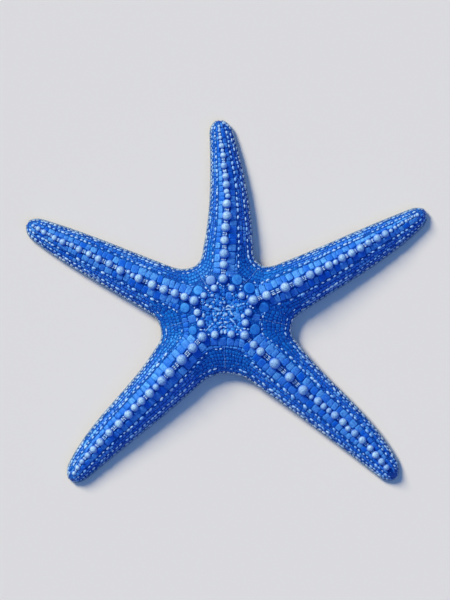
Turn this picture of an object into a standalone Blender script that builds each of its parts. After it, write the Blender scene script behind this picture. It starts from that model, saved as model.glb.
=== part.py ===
"""A sea star at life size, lying flat with its five arms spread.

The body is one lofted skin, parted by thin cuts into the disc and five arms. Seen from above, each arm has a
midline that leaves a corner of the ring of tubercles on the disc and runs to the arm's tip, and a half-width on
either side of it. Between two neighbouring arms the outline turns through a notch. The underside rests on flats
at z = 0, with a groove under each midline that leads to the mouth.

Arms are numbered counter-clockwise from the one that points to +Y. The origin is the middle of the bounding box,
on the floor. Sizes are in millimetres and angles in degrees, unless a name says otherwise.
"""

import math
from dataclasses import dataclass

import bmesh
import bpy
import numpy as np
from mathutils import Euler, Vector

MM = 0.001

# Plan
DISC_AT = (-1.1, -5.3)  # the disc's centre, from the origin
RING_RADIUS = 15.7  # corners of the ring of tubercles
RING_BOW = 0.8  # how far a side of the ring bends inwards
MOUTH_RADIUS = 5.0
CAP_LENGTH = 6.0  # rounded end of an arm
ROOT_SHARE = 0.2  # share of an arm's length, from the ring, where the turn into the notch starts
WIDTH_SHARES = (0.2, 0.5, 0.8, 1.0)  # shares of an arm's length at which its half-widths are given
NOTCH_FULLNESS = 0.62  # how far the turn into a notch reaches out to the corner of its straight sides

# Heights
CREST_AT_RING = 14.4
CREST_AT_TIP = 5.2
CREST_POWER = 0.85
DISC_CENTRE_HEIGHT = 13.4
MARGIN_SHARE = 0.3  # height of the body's widest line, as a share of the crest's
RIDGE_POWERS = (1.5, 0.8)  # the slope from crest to margin
MARGIN_ROLL = 0.2  # share of the width in which the margin rolls under
GROOVE_SHARE = 0.34  # height of the groove, as a share of the crest's
GROOVE_HALF_WIDTH = 3.0
GROOVE_WIDTH_SHARE = 0.3  # most of the half-width that the groove takes
MOUTH_HEIGHT = 6.4

TUBERCLE_LIFT = 0.15  # a tubercle's centre above the crest, in radii

# Parting
CUT_AFTER = 3  # the cut runs behind this tubercle of the arm, where the one at the ring's corner is 0
CUT_GAP = 0.3
CUTTER_SIZE = (130.0, 48.0, 50.0)

# Small parts
MADREPORITE = (2.7, 2.7, 1.4)  # half-sizes
MADREPORITE_AT = (17.0, 113.2)  # distance and heading from the disc's centre
MADREPORITE_SUNK = 0.75  # its middle, below the crest at the ring
EYE_SPOT = (0.9, 1.1, 0.8)
EYE_SPOT_INSET = 1.5
EYE_SPOT_HEIGHT = 1.0
MOUTH_PLATE = (3.2, 1.9, 1.4)
MOUTH_PLATE_AT = 7.4  # from the disc's centre
MOUTH_PLATE_HEIGHT = 1.7

# Resolution
CAP_STEPS = 3
ARM_STEPS = 6
ROOT_STEPS = 3
SIDE_STEPS = 3
SLOPE_SHARES = (0.0, 0.25, 0.55, 0.85, 1.0)
ROLL_ANGLES = (45.0, 90.0)
GROOVE_ANGLES = (0.0, 45.0, 90.0)
DISC_RINGS = (1.0, 0.62, 0.28, 0.0)
TUBERCLE_FACETS = (7, 4)
SMALL_PART_FACETS = (8, 5)
WELD = 0.000001


@dataclass(frozen=True)
class Arm:
    """One arm, seen from above. Left and right are those of someone at the disc who looks to the tip."""

    heading: float  # of the ring's corner where the midline starts
    tip: tuple  # from the disc's centre
    bow: float  # how far the midline's middle stands to the left of its chord
    left: tuple  # half-widths at WIDTH_SHARES
    right: tuple
    notch: tuple  # distance and heading of the notch on the arm's left
    ring: tuple  # distance, heading and radius of each tubercle on the ring's side on the arm's left
    row: tuple  # distance along the midline, distance to its left, and radius of each tubercle of the arm


ARMS = (
    Arm(
        90.5, (-2.9, 95.8), -1.9, (11.2, 7.9, 6.1, 4.8), (14.0, 11.9, 8.3, 5.2), (27.4, 123.3),
        ((12.8, 112.8, 1.83), (13.1, 141.2, 1.64)),
        (
            (0.8, 0.6, 2.25), (7.7, 0.6, 2.17), (13.3, 0.6, 2.33), (19.9, 0.5, 2.17), (26.4, 0.1, 2.25),
            (32.2, -0.7, 2.33), (38.2, -0.7, 2.25), (43.0, -0.9, 1.5), (47.6, -0.9, 1.92), (52.0, -0.8, 1.67),
            (57.3, -0.3, 1.58), (62.6, -0.4, 1.42), (67.5, 0.1, 1.08), (71.4, 0.2, 1.04), (74.9, 0.3, 0.83),
            (77.2, 0.1, 0.92),
        ),
    ),
    Arm(
        159.0, (-98.4, 44.6), 1.0, (14.6, 11.5, 8.6, 5.6), (11.0, 9.6, 7.0, 3.8), (33.0, 194.7),
        ((13.4, 180.8, 1.83), (13.0, 206.2, 1.89)),
        (
            (0.3, 0.1, 2.33), (5.5, 0.2, 2.0), (10.6, 0.4, 2.11), (16.4, 0.8, 2.22), (22.7, 1.0, 2.22),
            (30.1, 0.8, 2.06), (33.5, 0.8, 1.3), (36.1, 0.0, 1.06), (40.1, 1.0, 2.06), (46.5, 0.3, 1.83),
            (52.5, 0.4, 1.83), (57.8, 0.2, 1.61), (63.3, 0.3, 1.67), (67.5, 0.0, 1.33), (72.3, 0.6, 1.61),
            (76.9, 0.6, 1.39), (79.9, 0.2, 0.89), (82.9, 0.4, 1.39), (86.2, 0.2, 1.28), (89.1, 0.1, 0.94),
        ),
    ),
    Arm(
        225.6, (-77.0, -84.2), -1.0, (16.5, 13.2, 8.3, 4.7), (12.5, 9.6, 8.5, 4.3), (30.9, 271.0),
        ((12.2, 246.9, 2.0), (11.5, 287.4, 1.92)),
        (
            (0.8, 0.8, 2.39), (8.0, 1.2, 2.5), (16.1, 1.4, 2.67), (24.8, 1.4, 2.44), (30.5, 1.3, 2.39),
            (34.9, 1.3, 1.72), (39.3, 1.1, 2.33), (45.0, 0.7, 2.06), (49.7, 0.4, 1.94), (54.3, 0.4, 2.17),
            (60.9, -0.1, 2.11), (67.5, -0.8, 1.94), (74.0, -1.1, 1.94), (79.0, -1.2, 1.83), (83.1, -1.5, 1.56),
            (87.4, -1.6, 1.33), (91.1, -1.3, 1.28), (94.4, -0.9, 1.11),
        ),
    ),
    Arm(
        311.6, (86.0, -82.8), 1.2, (14.7, 11.7, 9.7, 4.2), (15.2, 11.6, 7.9, 5.3), (34.5, 348.5),
        ((11.9, 333.0, 1.89), (12.1, 359.2, 1.83)),
        (
            (-0.5, -0.1, 2.25), (6.0, -0.7, 2.0), (10.8, -1.0, 2.17), (20.1, -0.8, 2.67), (30.2, -0.9, 2.38),
            (39.6, -1.2, 2.5), (45.0, -1.0, 1.25), (48.7, -0.1, 2.08), (52.6, -0.1, 1.75), (56.0, 0.1, 1.46),
            (59.7, 0.5, 2.0), (65.0, 0.8, 1.92), (69.1, 0.2, 1.5), (73.1, 0.9, 1.83), (78.3, 1.0, 1.92),
            (83.9, 1.0, 1.67), (88.2, 0.5, 1.83), (92.6, 0.3, 1.75), (96.5, 0.0, 1.5),
        ),
    ),
    Arm(
        384.1, (100.7, 50.4), -1.5, (10.9, 9.2, 6.7, 3.7), (16.0, 12.7, 9.1, 4.8), (29.9, 411.5),
        ((12.0, 43.8, 1.86), (12.5, 72.9, 1.75)),
        (
            (-0.3, -0.5, 2.39), (6.8, -1.0, 2.33), (16.9, -1.2, 2.5), (24.0, -1.5, 2.44), (30.8, -0.8, 2.17),
            (35.4, -0.9, 2.11), (41.3, -0.7, 2.11), (45.0, -0.8, 1.39), (48.8, -0.4, 2.0), (54.2, -0.4, 2.0),
            (59.2, -0.2, 2.0), (64.1, 0.3, 1.67), (69.0, 0.1, 2.0), (73.6, 0.2, 1.83), (76.9, 0.2, 1.06),
            (79.4, 0.5, 1.06), (81.5, 0.6, 0.78), (83.7, 0.8, 0.83), (85.9, 0.6, 0.89), (89.6, 0.9, 0.72),
            (92.2, 0.5, 1.0),
        ),
    ),
)

SKIN_BLUE = (0.02, 0.16, 0.75)
OSSICLE_BLUE = (0.45, 0.62, 0.86)
EYE_RED = (0.45, 0.03, 0.02)


def polar(distance, heading):
    angle = math.radians(heading)
    return distance * np.array([math.cos(angle), math.sin(angle)])


def bezier(points, share):
    """A point on the Bezier curve with these control points."""
    while len(points) > 1:
        points = [a + (b - a) * share for a, b in zip(points, points[1:])]
    return points[0]


class Midline:
    """The line along an arm's back, with the widths and heights of the arm along it."""

    def __init__(self, arm):
        self.arm = arm
        self.root = polar(RING_RADIUS, arm.heading)
        tip = np.array(arm.tip)
        chord = tip - self.root
        self.length = float(np.linalg.norm(chord))
        to_left = np.array([-chord[1], chord[0]]) / self.length
        self.curve = [self.root, (self.root + tip) / 2 + 2 * arm.bow * to_left, tip]
        self.widths = [np.polyfit(WIDTH_SHARES, side, 3) for side in (arm.left, arm.right)]

    def point(self, distance):
        """Place at a distance from the ring's corner; a negative one runs on towards the mouth."""
        if distance < 0:
            return self.root * (1 + distance / RING_RADIUS)
        return bezier(self.curve, distance / self.length)

    def direction(self, distance):
        start, middle, end = self.curve
        share = distance / self.length
        along = (middle - start) * (1 - share) + (end - middle) * share
        return along / np.linalg.norm(along)

    def roundness(self, distance):
        """1 along the arm, falling to 0 round its end."""
        inset = 1 - (self.length - distance) / CAP_LENGTH
        return math.sqrt(max(0.0, 1 - max(0.0, inset) ** 2))

    def edge(self, distance, side):
        """A point of the outline: side is 0 on the left and 1 on the right."""
        x, y = self.direction(distance)
        outwards = np.array([-y, x]) * (1 - 2 * side)
        width = np.polyval(self.widths[side], distance / self.length)
        return self.point(distance) + outwards * width * self.roundness(distance)

    def crest(self, distance):
        share = 1 - max(0.0, distance) / self.length
        return CREST_AT_TIP + (CREST_AT_RING - CREST_AT_TIP) * share**CREST_POWER

    def tubercle(self, distance, to_left, radius):
        """Centre and radius of a tubercle, which stands on the crest."""
        x, y = self.direction(max(0.0, distance))
        place = self.point(distance) + np.array([-y, x]) * to_left + np.array(DISC_AT)
        margin = MARGIN_SHARE * self.crest(distance)
        height = margin + (self.crest(distance) - margin) * self.roundness(distance)
        return (place[0], place[1], height + TUBERCLE_LIFT * radius), radius

    def cut(self):
        """Distance of the cut that parts the arm from the disc, midway in the gap between two tubercles."""
        (near, _, near_radius), (far, _, far_radius) = self.arm.row[CUT_AFTER : CUT_AFTER + 2]
        return (near + near_radius + far - far_radius) / 2


@dataclass(frozen=True)
class Station:
    """One section of the body, from the line along its back to its margin."""

    back: np.ndarray
    crest: float
    groove: np.ndarray
    margin: np.ndarray
    roundness: float


def ring_side(first, last, share, radius):
    """A point on the side of a ring round the centre, between the midlines of two arms."""
    corners = [polar(radius, line.arm.heading) for line in (first, last)]
    middle = sum(corners) / 2
    inwards = 4 * share * (1 - share) * RING_BOW * radius / RING_RADIUS
    return corners[0] + (corners[1] - corners[0]) * share - middle / np.linalg.norm(middle) * inwards


def turn(start, before, notch, after, end, share):
    """A point on the outline's turn from one arm, at share 0, through the notch towards the next."""
    across = (end - start) / np.linalg.norm(end - start)

    def meeting(place, heading):
        run = np.linalg.solve(np.array([heading, -across]).T, notch - place)[0]
        return place + heading * run

    if share < 0.5:
        near, far, corner = start, notch, meeting(start, before)
    else:
        near, far, corner = notch, end, meeting(end, after)
    hooks = [near, near + (corner - near) * NOTCH_FULLNESS, far + (corner - far) * NOTCH_FULLNESS, far]
    return bezier(hooks, share * 2 % 1)


def arm_distances(line):
    """Distances of an arm's stations, from its tip to where the turn into the notch starts."""
    round_end = [CAP_LENGTH * (1 - math.cos(math.pi / 2 * step / CAP_STEPS)) for step in range(CAP_STEPS)]
    straight = np.linspace(CAP_LENGTH, line.length * (1 - ROOT_SHARE), ARM_STEPS + 1)
    return [line.length - inset for inset in (*round_end, *straight)]


def arm_stations(line, side):
    return [
        Station(line.point(d), line.crest(d), line.point(d), line.edge(d, side), line.roundness(d))
        for d in arm_distances(line)
    ]


def sector(first, last):
    """Stations from the tip of one arm, down its left side, round the notch and up the next arm's right side."""
    start, end = ROOT_SHARE * first.length, ROOT_SHARE * last.length
    turn_of = (
        first.edge(start, 0),
        -first.direction(start),
        polar(*first.arm.notch),
        -last.direction(end),
        last.edge(end, 1),
    )
    deepest = MOUTH_RADIUS - RING_RADIUS
    steps = 2 * ROOT_STEPS + SIDE_STEPS
    middle = []
    for step in range(1, steps):
        inner = ROOT_STEPS + SIDE_STEPS - step
        if step <= ROOT_STEPS:
            line, left = first, 1 - step / ROOT_STEPS
        else:
            line, left = last, -inner / ROOT_STEPS
        along = min(1.0, max(0.0, (step - ROOT_STEPS) / SIDE_STEPS))
        if 0 < along < 1:
            back = ring_side(first, last, along, RING_RADIUS)
            groove = ring_side(first, last, along, MOUTH_RADIUS)
            crest = CREST_AT_RING
        else:
            run = ROOT_SHARE * line.length * left
            back, crest = line.point(run), line.crest(run)
            groove = line.point(deepest + (run - deepest * left))
        middle.append(Station(back, crest, groove, turn(*turn_of, step / steps), 1.0))
    return [*arm_stations(first, 0), *middle, *reversed(arm_stations(last, 1))]


def section(station):
    """Points of a station's section, from its back over the margin to the groove."""
    margin_height = MARGIN_SHARE * station.crest
    rise = station.crest - margin_height
    points = []

    def add(inner, share, height):
        place = inner + (station.margin - inner) * share
        level = margin_height + (height - margin_height) * station.roundness
        points.append((place[0] + DISC_AT[0], place[1] + DISC_AT[1], level))

    for share in SLOPE_SHARES:
        add(station.back, share, margin_height + rise * (1 - share ** RIDGE_POWERS[0]) ** RIDGE_POWERS[1])
    for angle in ROLL_ANGLES:
        roll = math.radians(angle)
        add(station.groove, 1 - MARGIN_ROLL * (1 - math.cos(roll)), margin_height * (1 - math.sin(roll)))
    width = float(np.linalg.norm(station.margin - station.groove))
    half_width = min(GROOVE_HALF_WIDTH / max(width, CUT_GAP), GROOVE_WIDTH_SHARE)
    for angle in reversed(GROOVE_ANGLES):
        wall = math.radians(angle)
        add(station.groove, half_width * math.sin(wall), GROOVE_SHARE * station.crest * math.cos(wall))
    return points


def add_grid(mesh, rows):
    """Joins rows of points into a net of four-sided faces."""
    net = [[mesh.verts.new(Vector(point) * MM) for point in row] for row in rows]
    for one, other in zip(net, net[1:]):
        for a, b, c, d in zip(one, one[1:], other[1:], other):
            mesh.faces.new((a, b, c, d))


def add_centre(mesh, side, height):
    """Closes the body inside a side of a ring, up or down to a height over the disc's centre."""
    rows = []
    for share in DISC_RINGS:
        level = [height + (point[2] - height) * share**2 for point in side]
        rows.append(
            [
                (DISC_AT[0] + (p[0] - DISC_AT[0]) * share, DISC_AT[1] + (p[1] - DISC_AT[1]) * share, z)
                for p, z in zip(side, level)
            ]
        )
    add_grid(mesh, rows)


def body_mesh(lines):
    """The whole body as one closed mesh."""
    mesh = bmesh.new()
    for first, last in zip(lines, (*lines[1:], lines[0])):
        sections = [section(station) for station in sector(first, last)]
        add_grid(mesh, sections)
        corner = len(arm_distances(first)) - 1 + ROOT_STEPS
        side = sections[corner : corner + SIDE_STEPS + 1]
        add_centre(mesh, [points[0] for points in side], DISC_CENTRE_HEIGHT)
        add_centre(mesh, [points[-1] for points in side], MOUTH_HEIGHT)
    bmesh.ops.remove_doubles(mesh, verts=mesh.verts, dist=WELD)
    bmesh.ops.dissolve_degenerate(mesh, edges=mesh.edges, dist=WELD)
    bmesh.ops.recalc_face_normals(mesh, faces=mesh.faces)
    data = bpy.data.meshes.new("body")
    mesh.to_mesh(data)
    mesh.free()
    data.shade_smooth()
    return data


def collection(name):
    made = bpy.data.collections.new(name)
    bpy.context.scene.collection.children.link(made)
    return made


def material(name, colour, roughness):
    made = bpy.data.materials.new(name)
    made.use_nodes = True
    finish = made.node_tree.nodes["Principled BSDF"]
    finish.inputs["Base Color"].default_value = (*colour, 1.0)
    finish.inputs["Roughness"].default_value = roughness
    finish.inputs["Metallic"].default_value = 0.0
    return made


def add_object(name, data, group, finish=None):
    made = bpy.data.objects.new(name, data)
    group.objects.link(made)
    if finish:
        data.materials.append(finish)
    return made


def as_cutter(cutter):
    cutter.hide_render = True
    cutter.display_type = "WIRE"
    return cutter


def boolean(target, operation, tool):
    modifier = target.modifiers.new(f"{operation.lower()} {tool.name}", "BOOLEAN")
    modifier.operation = operation
    modifier.object = tool
    modifier.solver = "EXACT"


def spheres_mesh(name, spheres):
    """One mesh of spheres that don't touch, from their centres and radii."""
    mesh = bmesh.new()
    segments, rings = TUBERCLE_FACETS
    for centre, radius in spheres:
        new = bmesh.ops.create_uvsphere(mesh, u_segments=segments, v_segments=rings, radius=radius * MM)
        bmesh.ops.translate(mesh, verts=new["verts"], vec=Vector(centre) * MM)
    data = bpy.data.meshes.new(name)
    mesh.to_mesh(data)
    mesh.free()
    return data


def arm_cutter(number, line, gap, group):
    """A block that holds the whole arm beyond its cut, which it moves towards the disc by the gap."""
    place = line.point(line.cut())
    x, y = line.direction(line.cut())
    length, width, height = CUTTER_SIZE
    mesh = bmesh.new()
    bmesh.ops.create_cube(mesh, size=1.0)
    bmesh.ops.scale(mesh, verts=mesh.verts, vec=Vector(CUTTER_SIZE) * MM)
    bmesh.ops.translate(mesh, verts=mesh.verts, vec=(length / 2 * MM, 0, 0))
    data = bpy.data.meshes.new(f"arm_block_{number}")
    mesh.to_mesh(data)
    mesh.free()
    cutter = as_cutter(add_object(f"arm_block_{number}_{gap:.1f}", data, group))
    start = place + np.array(DISC_AT) - np.array([x, y]) * gap
    cutter.location = Vector((start[0], start[1], height / 4)) * MM
    cutter.rotation_euler = Euler((0, 0, math.atan2(y, x)))
    return cutter


def ellipsoid(name, half_sizes, place, heading, group, finish=None):
    """A stretched sphere whose first half-size lies along the heading."""
    mesh = bmesh.new()
    segments, rings = SMALL_PART_FACETS
    bmesh.ops.create_uvsphere(mesh, u_segments=segments, v_segments=rings, radius=1.0)
    bmesh.ops.scale(mesh, verts=mesh.verts, vec=Vector(half_sizes) * MM)
    data = bpy.data.meshes.new(name)
    mesh.to_mesh(data)
    mesh.free()
    data.shade_smooth()
    made = add_object(name, data, group, finish)
    made.location = Vector((place[0] + DISC_AT[0], place[1] + DISC_AT[1], place[2])) * MM
    made.rotation_euler = Euler((0, 0, math.radians(heading)))
    return made


def seat(name, half_sizes, place, heading, target, groups, finish):
    """A small part let into a socket in the body, with a thin gap all round it."""
    parts, cutters = groups
    ellipsoid(name, half_sizes, place, heading, parts, finish)
    wider = [size + CUT_GAP for size in half_sizes]
    boolean(target, "DIFFERENCE", as_cutter(ellipsoid(f"{name}_socket", wider, place, heading, cutters)))


def make_disc(lines, data, groups, finish):
    parts, cutters = groups
    disc = add_object("disc", data.copy(), parts, finish)
    spheres = []
    for number, line in enumerate(lines, 1):
        boolean(disc, "DIFFERENCE", arm_cutter(number, line, CUT_GAP, cutters))
        for distance, heading, radius in line.arm.ring:
            x, y = polar(distance, heading) + np.array(DISC_AT)
            spheres.append(((x, y, CREST_AT_RING + TUBERCLE_LIFT * radius), radius))
        spheres += [line.tubercle(*tubercle) for tubercle in line.arm.row[: CUT_AFTER + 1]]
    row = add_object("disc_tubercles", spheres_mesh("disc_tubercles", spheres), cutters)
    boolean(disc, "UNION", as_cutter(row))
    return disc


def make_arm(number, line, data, groups, finish):
    parts, cutters = groups
    arm = add_object(f"arm_{number}", data.copy(), parts, finish)
    boolean(arm, "INTERSECT", arm_cutter(number, line, 0.0, cutters))
    spheres = [line.tubercle(*tubercle) for tubercle in line.arm.row[CUT_AFTER + 1 :]]
    name = f"arm_{number}_tubercles"
    boolean(arm, "UNION", as_cutter(add_object(name, spheres_mesh(name, spheres), cutters)))
    return arm


def make_madreporite(disc, groups, finish):
    """The sieve plate, on the disc between arms 1 and 2."""
    x, y = polar(*MADREPORITE_AT)
    place = (x, y, CREST_AT_RING - MADREPORITE_SUNK)
    seat("madreporite", MADREPORITE, place, MADREPORITE_AT[1], disc, groups, finish)


def make_mouth_plates(disc, lines, groups, finish):
    """The five pairs of jaw plates, each pair one piece, between the grooves."""
    for number, (first, last) in enumerate(zip(lines, (*lines[1:], lines[0])), 1):
        x, y = polar(1.0, first.arm.heading) + polar(1.0, last.arm.heading)
        heading = math.degrees(math.atan2(y, x))
        x, y = polar(MOUTH_PLATE_AT, heading)
        place = (x, y, MOUTH_PLATE_HEIGHT)
        seat(f"mouth_plate_{number}", MOUTH_PLATE, place, heading, disc, groups, finish)


def make_eye_spot(number, line, arm, groups, finish):
    """The light-sensitive spot under the end of an arm."""
    distance = line.length - EYE_SPOT_INSET
    x, y = line.point(distance)
    heading = math.degrees(math.atan2(*reversed(line.direction(distance))))
    seat(f"eye_spot_{number}", EYE_SPOT, (x, y, EYE_SPOT_HEIGHT), heading, arm, groups, finish)


def main():
    for leftover in list(bpy.data.objects):
        bpy.data.objects.remove(leftover)
    groups = (collection("sea_star"), collection("sea_star_cutters"))
    skin = material("skin", SKIN_BLUE, 0.35)
    ossicle = material("ossicle", OSSICLE_BLUE, 0.4)
    eye = material("eye_spot", EYE_RED, 0.3)
    lines = [Midline(arm) for arm in ARMS]
    body = body_mesh(lines)
    disc = make_disc(lines, body, groups, skin)
    make_madreporite(disc, groups, ossicle)
    make_mouth_plates(disc, lines, groups, ossicle)
    for number, line in enumerate(lines, 1):
        arm = make_arm(number, line, body, groups, skin)
        make_eye_spot(number, line, arm, groups, eye)


main()
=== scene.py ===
"""A blue starfish at life size, lying on a pale floor under soft light.

The body is one skin, drawn from the plan of the animal: five midlines, the half-widths beside them and the
notches between them. Everything that grows on the skin stands on it by Geometry Nodes: tubercles, plates,
beads, granules and spinelets on the back, and spines and tube feet under it.
Sizes are in millimetres and angles in degrees, unless a name says otherwise.
"""

import sys

import logging
import math
import random
from dataclasses import dataclass
from enum import Enum
from typing import Any

import bmesh
import bpy
import numpy as np
from bpy.types import Material, Mesh, NodeSocket, Object
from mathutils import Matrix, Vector
from mathutils.bvhtree import BVHTree

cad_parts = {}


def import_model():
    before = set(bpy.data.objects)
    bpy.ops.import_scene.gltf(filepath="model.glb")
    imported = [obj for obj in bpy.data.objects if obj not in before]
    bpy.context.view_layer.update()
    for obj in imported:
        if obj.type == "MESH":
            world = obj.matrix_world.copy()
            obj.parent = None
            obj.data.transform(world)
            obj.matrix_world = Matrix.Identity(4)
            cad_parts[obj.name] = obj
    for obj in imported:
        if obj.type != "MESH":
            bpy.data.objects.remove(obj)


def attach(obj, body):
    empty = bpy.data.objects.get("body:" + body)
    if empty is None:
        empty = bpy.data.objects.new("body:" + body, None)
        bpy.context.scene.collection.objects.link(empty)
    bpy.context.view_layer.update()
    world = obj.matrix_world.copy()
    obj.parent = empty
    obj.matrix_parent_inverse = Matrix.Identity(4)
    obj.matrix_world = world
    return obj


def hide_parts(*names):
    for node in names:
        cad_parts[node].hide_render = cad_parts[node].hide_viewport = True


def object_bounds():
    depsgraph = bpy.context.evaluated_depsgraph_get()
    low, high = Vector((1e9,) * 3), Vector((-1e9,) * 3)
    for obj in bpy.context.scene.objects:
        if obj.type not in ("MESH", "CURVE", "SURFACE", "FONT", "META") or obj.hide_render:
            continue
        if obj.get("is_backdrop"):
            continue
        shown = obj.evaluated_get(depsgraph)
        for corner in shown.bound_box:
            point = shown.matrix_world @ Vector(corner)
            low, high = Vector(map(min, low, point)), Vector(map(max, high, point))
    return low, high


Array = np.ndarray

LOG = logging.getLogger("starfish")
MM = 0.001
BODY = "root"
UP = np.array([0.0, 0.0, 1.0])
Triple = tuple[float, float, float]
Grid = tuple[Array, dict[str, Array]]


# ---- The plan of the animal ------------------------------


@dataclass(frozen=True)
class ArmPlan:
    """One arm, seen from above. Left and right are those of someone at the disc who looks to the tip.

    Attributes:
        heading: Of the corner of the ring where the midline starts.
        tip: From the disc's centre.
        bow: How far the midline's middle stands to the left of its chord.
        left: Half-widths at WIDTH_SHARES on the left.
        right: The same on the right.
        notch: Distance and heading of the notch on the left, and the first bead row's share there.
        left_rows: Shares of the first two rows of beads at ROW_SHARES on the left.
        right_rows: The same on the right.
        ring: Distance, heading and radius of each tubercle on the ring's side on the left.
        row: Distance along the midline, distance to its left, and radius of each of its tubercles.
    """

    heading: float
    tip: tuple[float, float]
    bow: float
    left: tuple[float, ...]
    right: tuple[float, ...]
    notch: Triple
    left_rows: tuple[tuple[float, ...], tuple[float, ...]]
    right_rows: tuple[tuple[float, ...], tuple[float, ...]]
    ring: tuple[Triple, ...]
    row: tuple[Triple, ...]


ARM_PLANS = (
    ArmPlan(
        heading=90.5, tip=(-2.9, 95.8), bow=-1.9,
        left=(11.2, 7.9, 6.1, 4.8), right=(14.0, 11.9, 8.3, 5.2), notch=(27.4, 123.3, 0.48),
        left_rows=((0.53, 0.5, 0.47, 0.47), (0.84, 0.81, 0.76, 0.76)),
        right_rows=((0.47, 0.49, 0.52, 0.48), (0.79, 0.77, 0.78, 0.74)),
        ring=((12.8, 112.8, 1.83), (13.1, 141.2, 1.64)),
        row=(
            (0.8, 0.6, 2.25), (7.7, 0.6, 2.17), (13.3, 0.6, 2.33), (19.9, 0.5, 2.17), (26.4, 0.1, 2.25),
            (32.2, -0.7, 2.3), (38.2, -0.7, 2.15), (42.1, -1.4, 1.35), (44.3, -0.9, 1.45), (47.8, -0.9, 1.85),
            (52.0, -0.8, 1.67), (57.3, -0.3, 1.65), (62.5, -0.4, 1.5), (67.3, 0.0, 1.4), (71.4, 0.2, 1.04),
            (74.9, 0.3, 0.83), (77.2, 0.1, 0.8),
        ),
    ),
    ArmPlan(
        heading=159.0, tip=(-98.4, 44.6), bow=1.0,
        left=(14.6, 11.5, 8.6, 5.6), right=(11.0, 9.6, 7.0, 3.8), notch=(33.0, 194.7, 0.48),
        left_rows=((0.52, 0.51, 0.5, 0.48), (0.82, 0.79, 0.77, 0.75)),
        right_rows=((0.52, 0.53, 0.54, 0.52), (0.82, 0.8, 0.81, 0.77)),
        ring=((13.4, 180.8, 1.83), (13.0, 206.2, 1.89)),
        row=(
            (0.3, 0.1, 2.33), (5.5, 0.2, 2.0), (10.6, 0.4, 2.11), (16.4, 0.8, 2.22), (22.7, 1.0, 2.22),
            (30.1, 0.8, 2.06), (33.5, 0.8, 1.3), (36.1, 0.0, 1.06), (40.1, 1.0, 2.06), (46.5, 0.3, 1.83),
            (52.5, 0.4, 1.83), (57.8, 0.2, 1.61), (63.3, 0.3, 1.67), (67.5, 0.0, 1.33), (72.3, 0.6, 1.61),
            (76.9, 0.6, 1.39), (79.9, 0.2, 0.89), (82.9, 0.4, 1.39), (86.2, 0.2, 1.28), (89.1, 0.1, 0.94),
        ),
    ),
    ArmPlan(
        heading=225.6, tip=(-77.0, -84.2), bow=-1.0,
        left=(16.5, 13.2, 8.3, 4.7), right=(12.5, 9.6, 8.5, 4.3), notch=(30.9, 271.0, 0.38),
        left_rows=((0.51, 0.51, 0.48, 0.4), (0.81, 0.79, 0.77, 0.7)),
        right_rows=((0.47, 0.51, 0.54, 0.58), (0.83, 0.83, 0.82, 0.83)),
        ring=((12.2, 246.9, 2.0), (11.5, 287.4, 1.92)),
        row=(
            (0.8, 0.8, 2.39), (8.0, 1.2, 2.5), (16.1, 1.4, 2.67), (24.8, 1.4, 2.44), (30.5, 1.3, 2.39),
            (34.9, 1.3, 1.72), (39.3, 1.1, 2.33), (45.0, 0.7, 2.06), (49.7, 0.4, 1.94), (54.3, 0.4, 2.17),
            (60.9, -0.1, 2.11), (67.5, -0.8, 1.94), (74.0, -1.1, 1.94), (79.0, -1.2, 1.83),
            (83.1, -1.5, 1.56), (87.4, -1.6, 1.33), (91.1, -1.3, 1.28), (94.4, -0.9, 1.11),
        ),
    ),
    ArmPlan(
        heading=311.6, tip=(86.0, -82.8), bow=1.2,
        left=(14.7, 11.7, 9.7, 4.2), right=(15.2, 11.6, 7.9, 5.3), notch=(34.5, 348.5, 0.33),
        left_rows=((0.46, 0.49, 0.57, 0.55), (0.82, 0.81, 0.83, 0.78)),
        right_rows=((0.53, 0.53, 0.49, 0.44), (0.82, 0.81, 0.77, 0.72)),
        ring=((11.9, 333.0, 1.89), (12.1, 359.2, 1.83)),
        row=(
            (-0.5, -0.1, 2.25), (6.0, -0.7, 2.0), (10.8, -1.0, 2.17), (20.1, -0.8, 2.67), (30.2, -0.9, 2.38),
            (39.6, -1.2, 2.5), (45.0, -1.0, 1.25), (48.7, -0.1, 2.08), (52.6, -0.1, 1.75), (56.0, 0.1, 1.46),
            (59.7, 0.5, 2.0), (65.0, 0.8, 1.92), (69.1, 0.2, 1.5), (73.1, 0.9, 1.83), (78.3, 1.0, 1.92),
            (83.9, 1.0, 1.67), (88.2, 0.5, 1.83), (92.6, 0.3, 1.75), (96.5, 0.0, 1.5),
        ),
    ),
    ArmPlan(
        heading=384.1, tip=(100.7, 50.4), bow=-1.5,
        left=(10.9, 9.2, 6.7, 3.7), right=(16.0, 12.7, 9.1, 4.8), notch=(29.9, 411.5, 0.44),
        left_rows=((0.51, 0.51, 0.53, 0.52), (0.82, 0.8, 0.81, 0.79)),
        right_rows=((0.5, 0.51, 0.46, 0.41), (0.81, 0.78, 0.77, 0.71)),
        ring=((12.0, 43.8, 1.86), (12.5, 72.9, 1.75)),
        row=(
            (-0.3, -0.5, 2.39), (6.8, -1.0, 2.33), (16.9, -1.2, 2.5), (24.0, -1.5, 2.44), (30.8, -0.8, 2.17),
            (35.4, -0.9, 2.11), (41.3, -0.7, 2.11), (45.0, -0.8, 1.39), (48.8, -0.4, 2.0), (54.2, -0.4, 2.0),
            (59.2, -0.2, 2.0), (64.1, 0.3, 1.67), (69.0, 0.1, 2.0), (73.6, 0.2, 1.83), (76.9, 0.2, 1.06),
            (79.4, 0.5, 1.06), (81.5, 0.6, 0.78), (83.7, 0.8, 0.83), (85.9, 0.6, 0.89), (89.6, 0.9, 0.72),
            (92.2, 0.5, 1.0),
        ),
    ),
)

# The ring of tubercles round the disc: how far out its corners are, and how far its sides bow in.
RING_RADIUS = 15.7
RING_BOW = 0.8
MOUTH_RADIUS = 5.0
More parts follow.
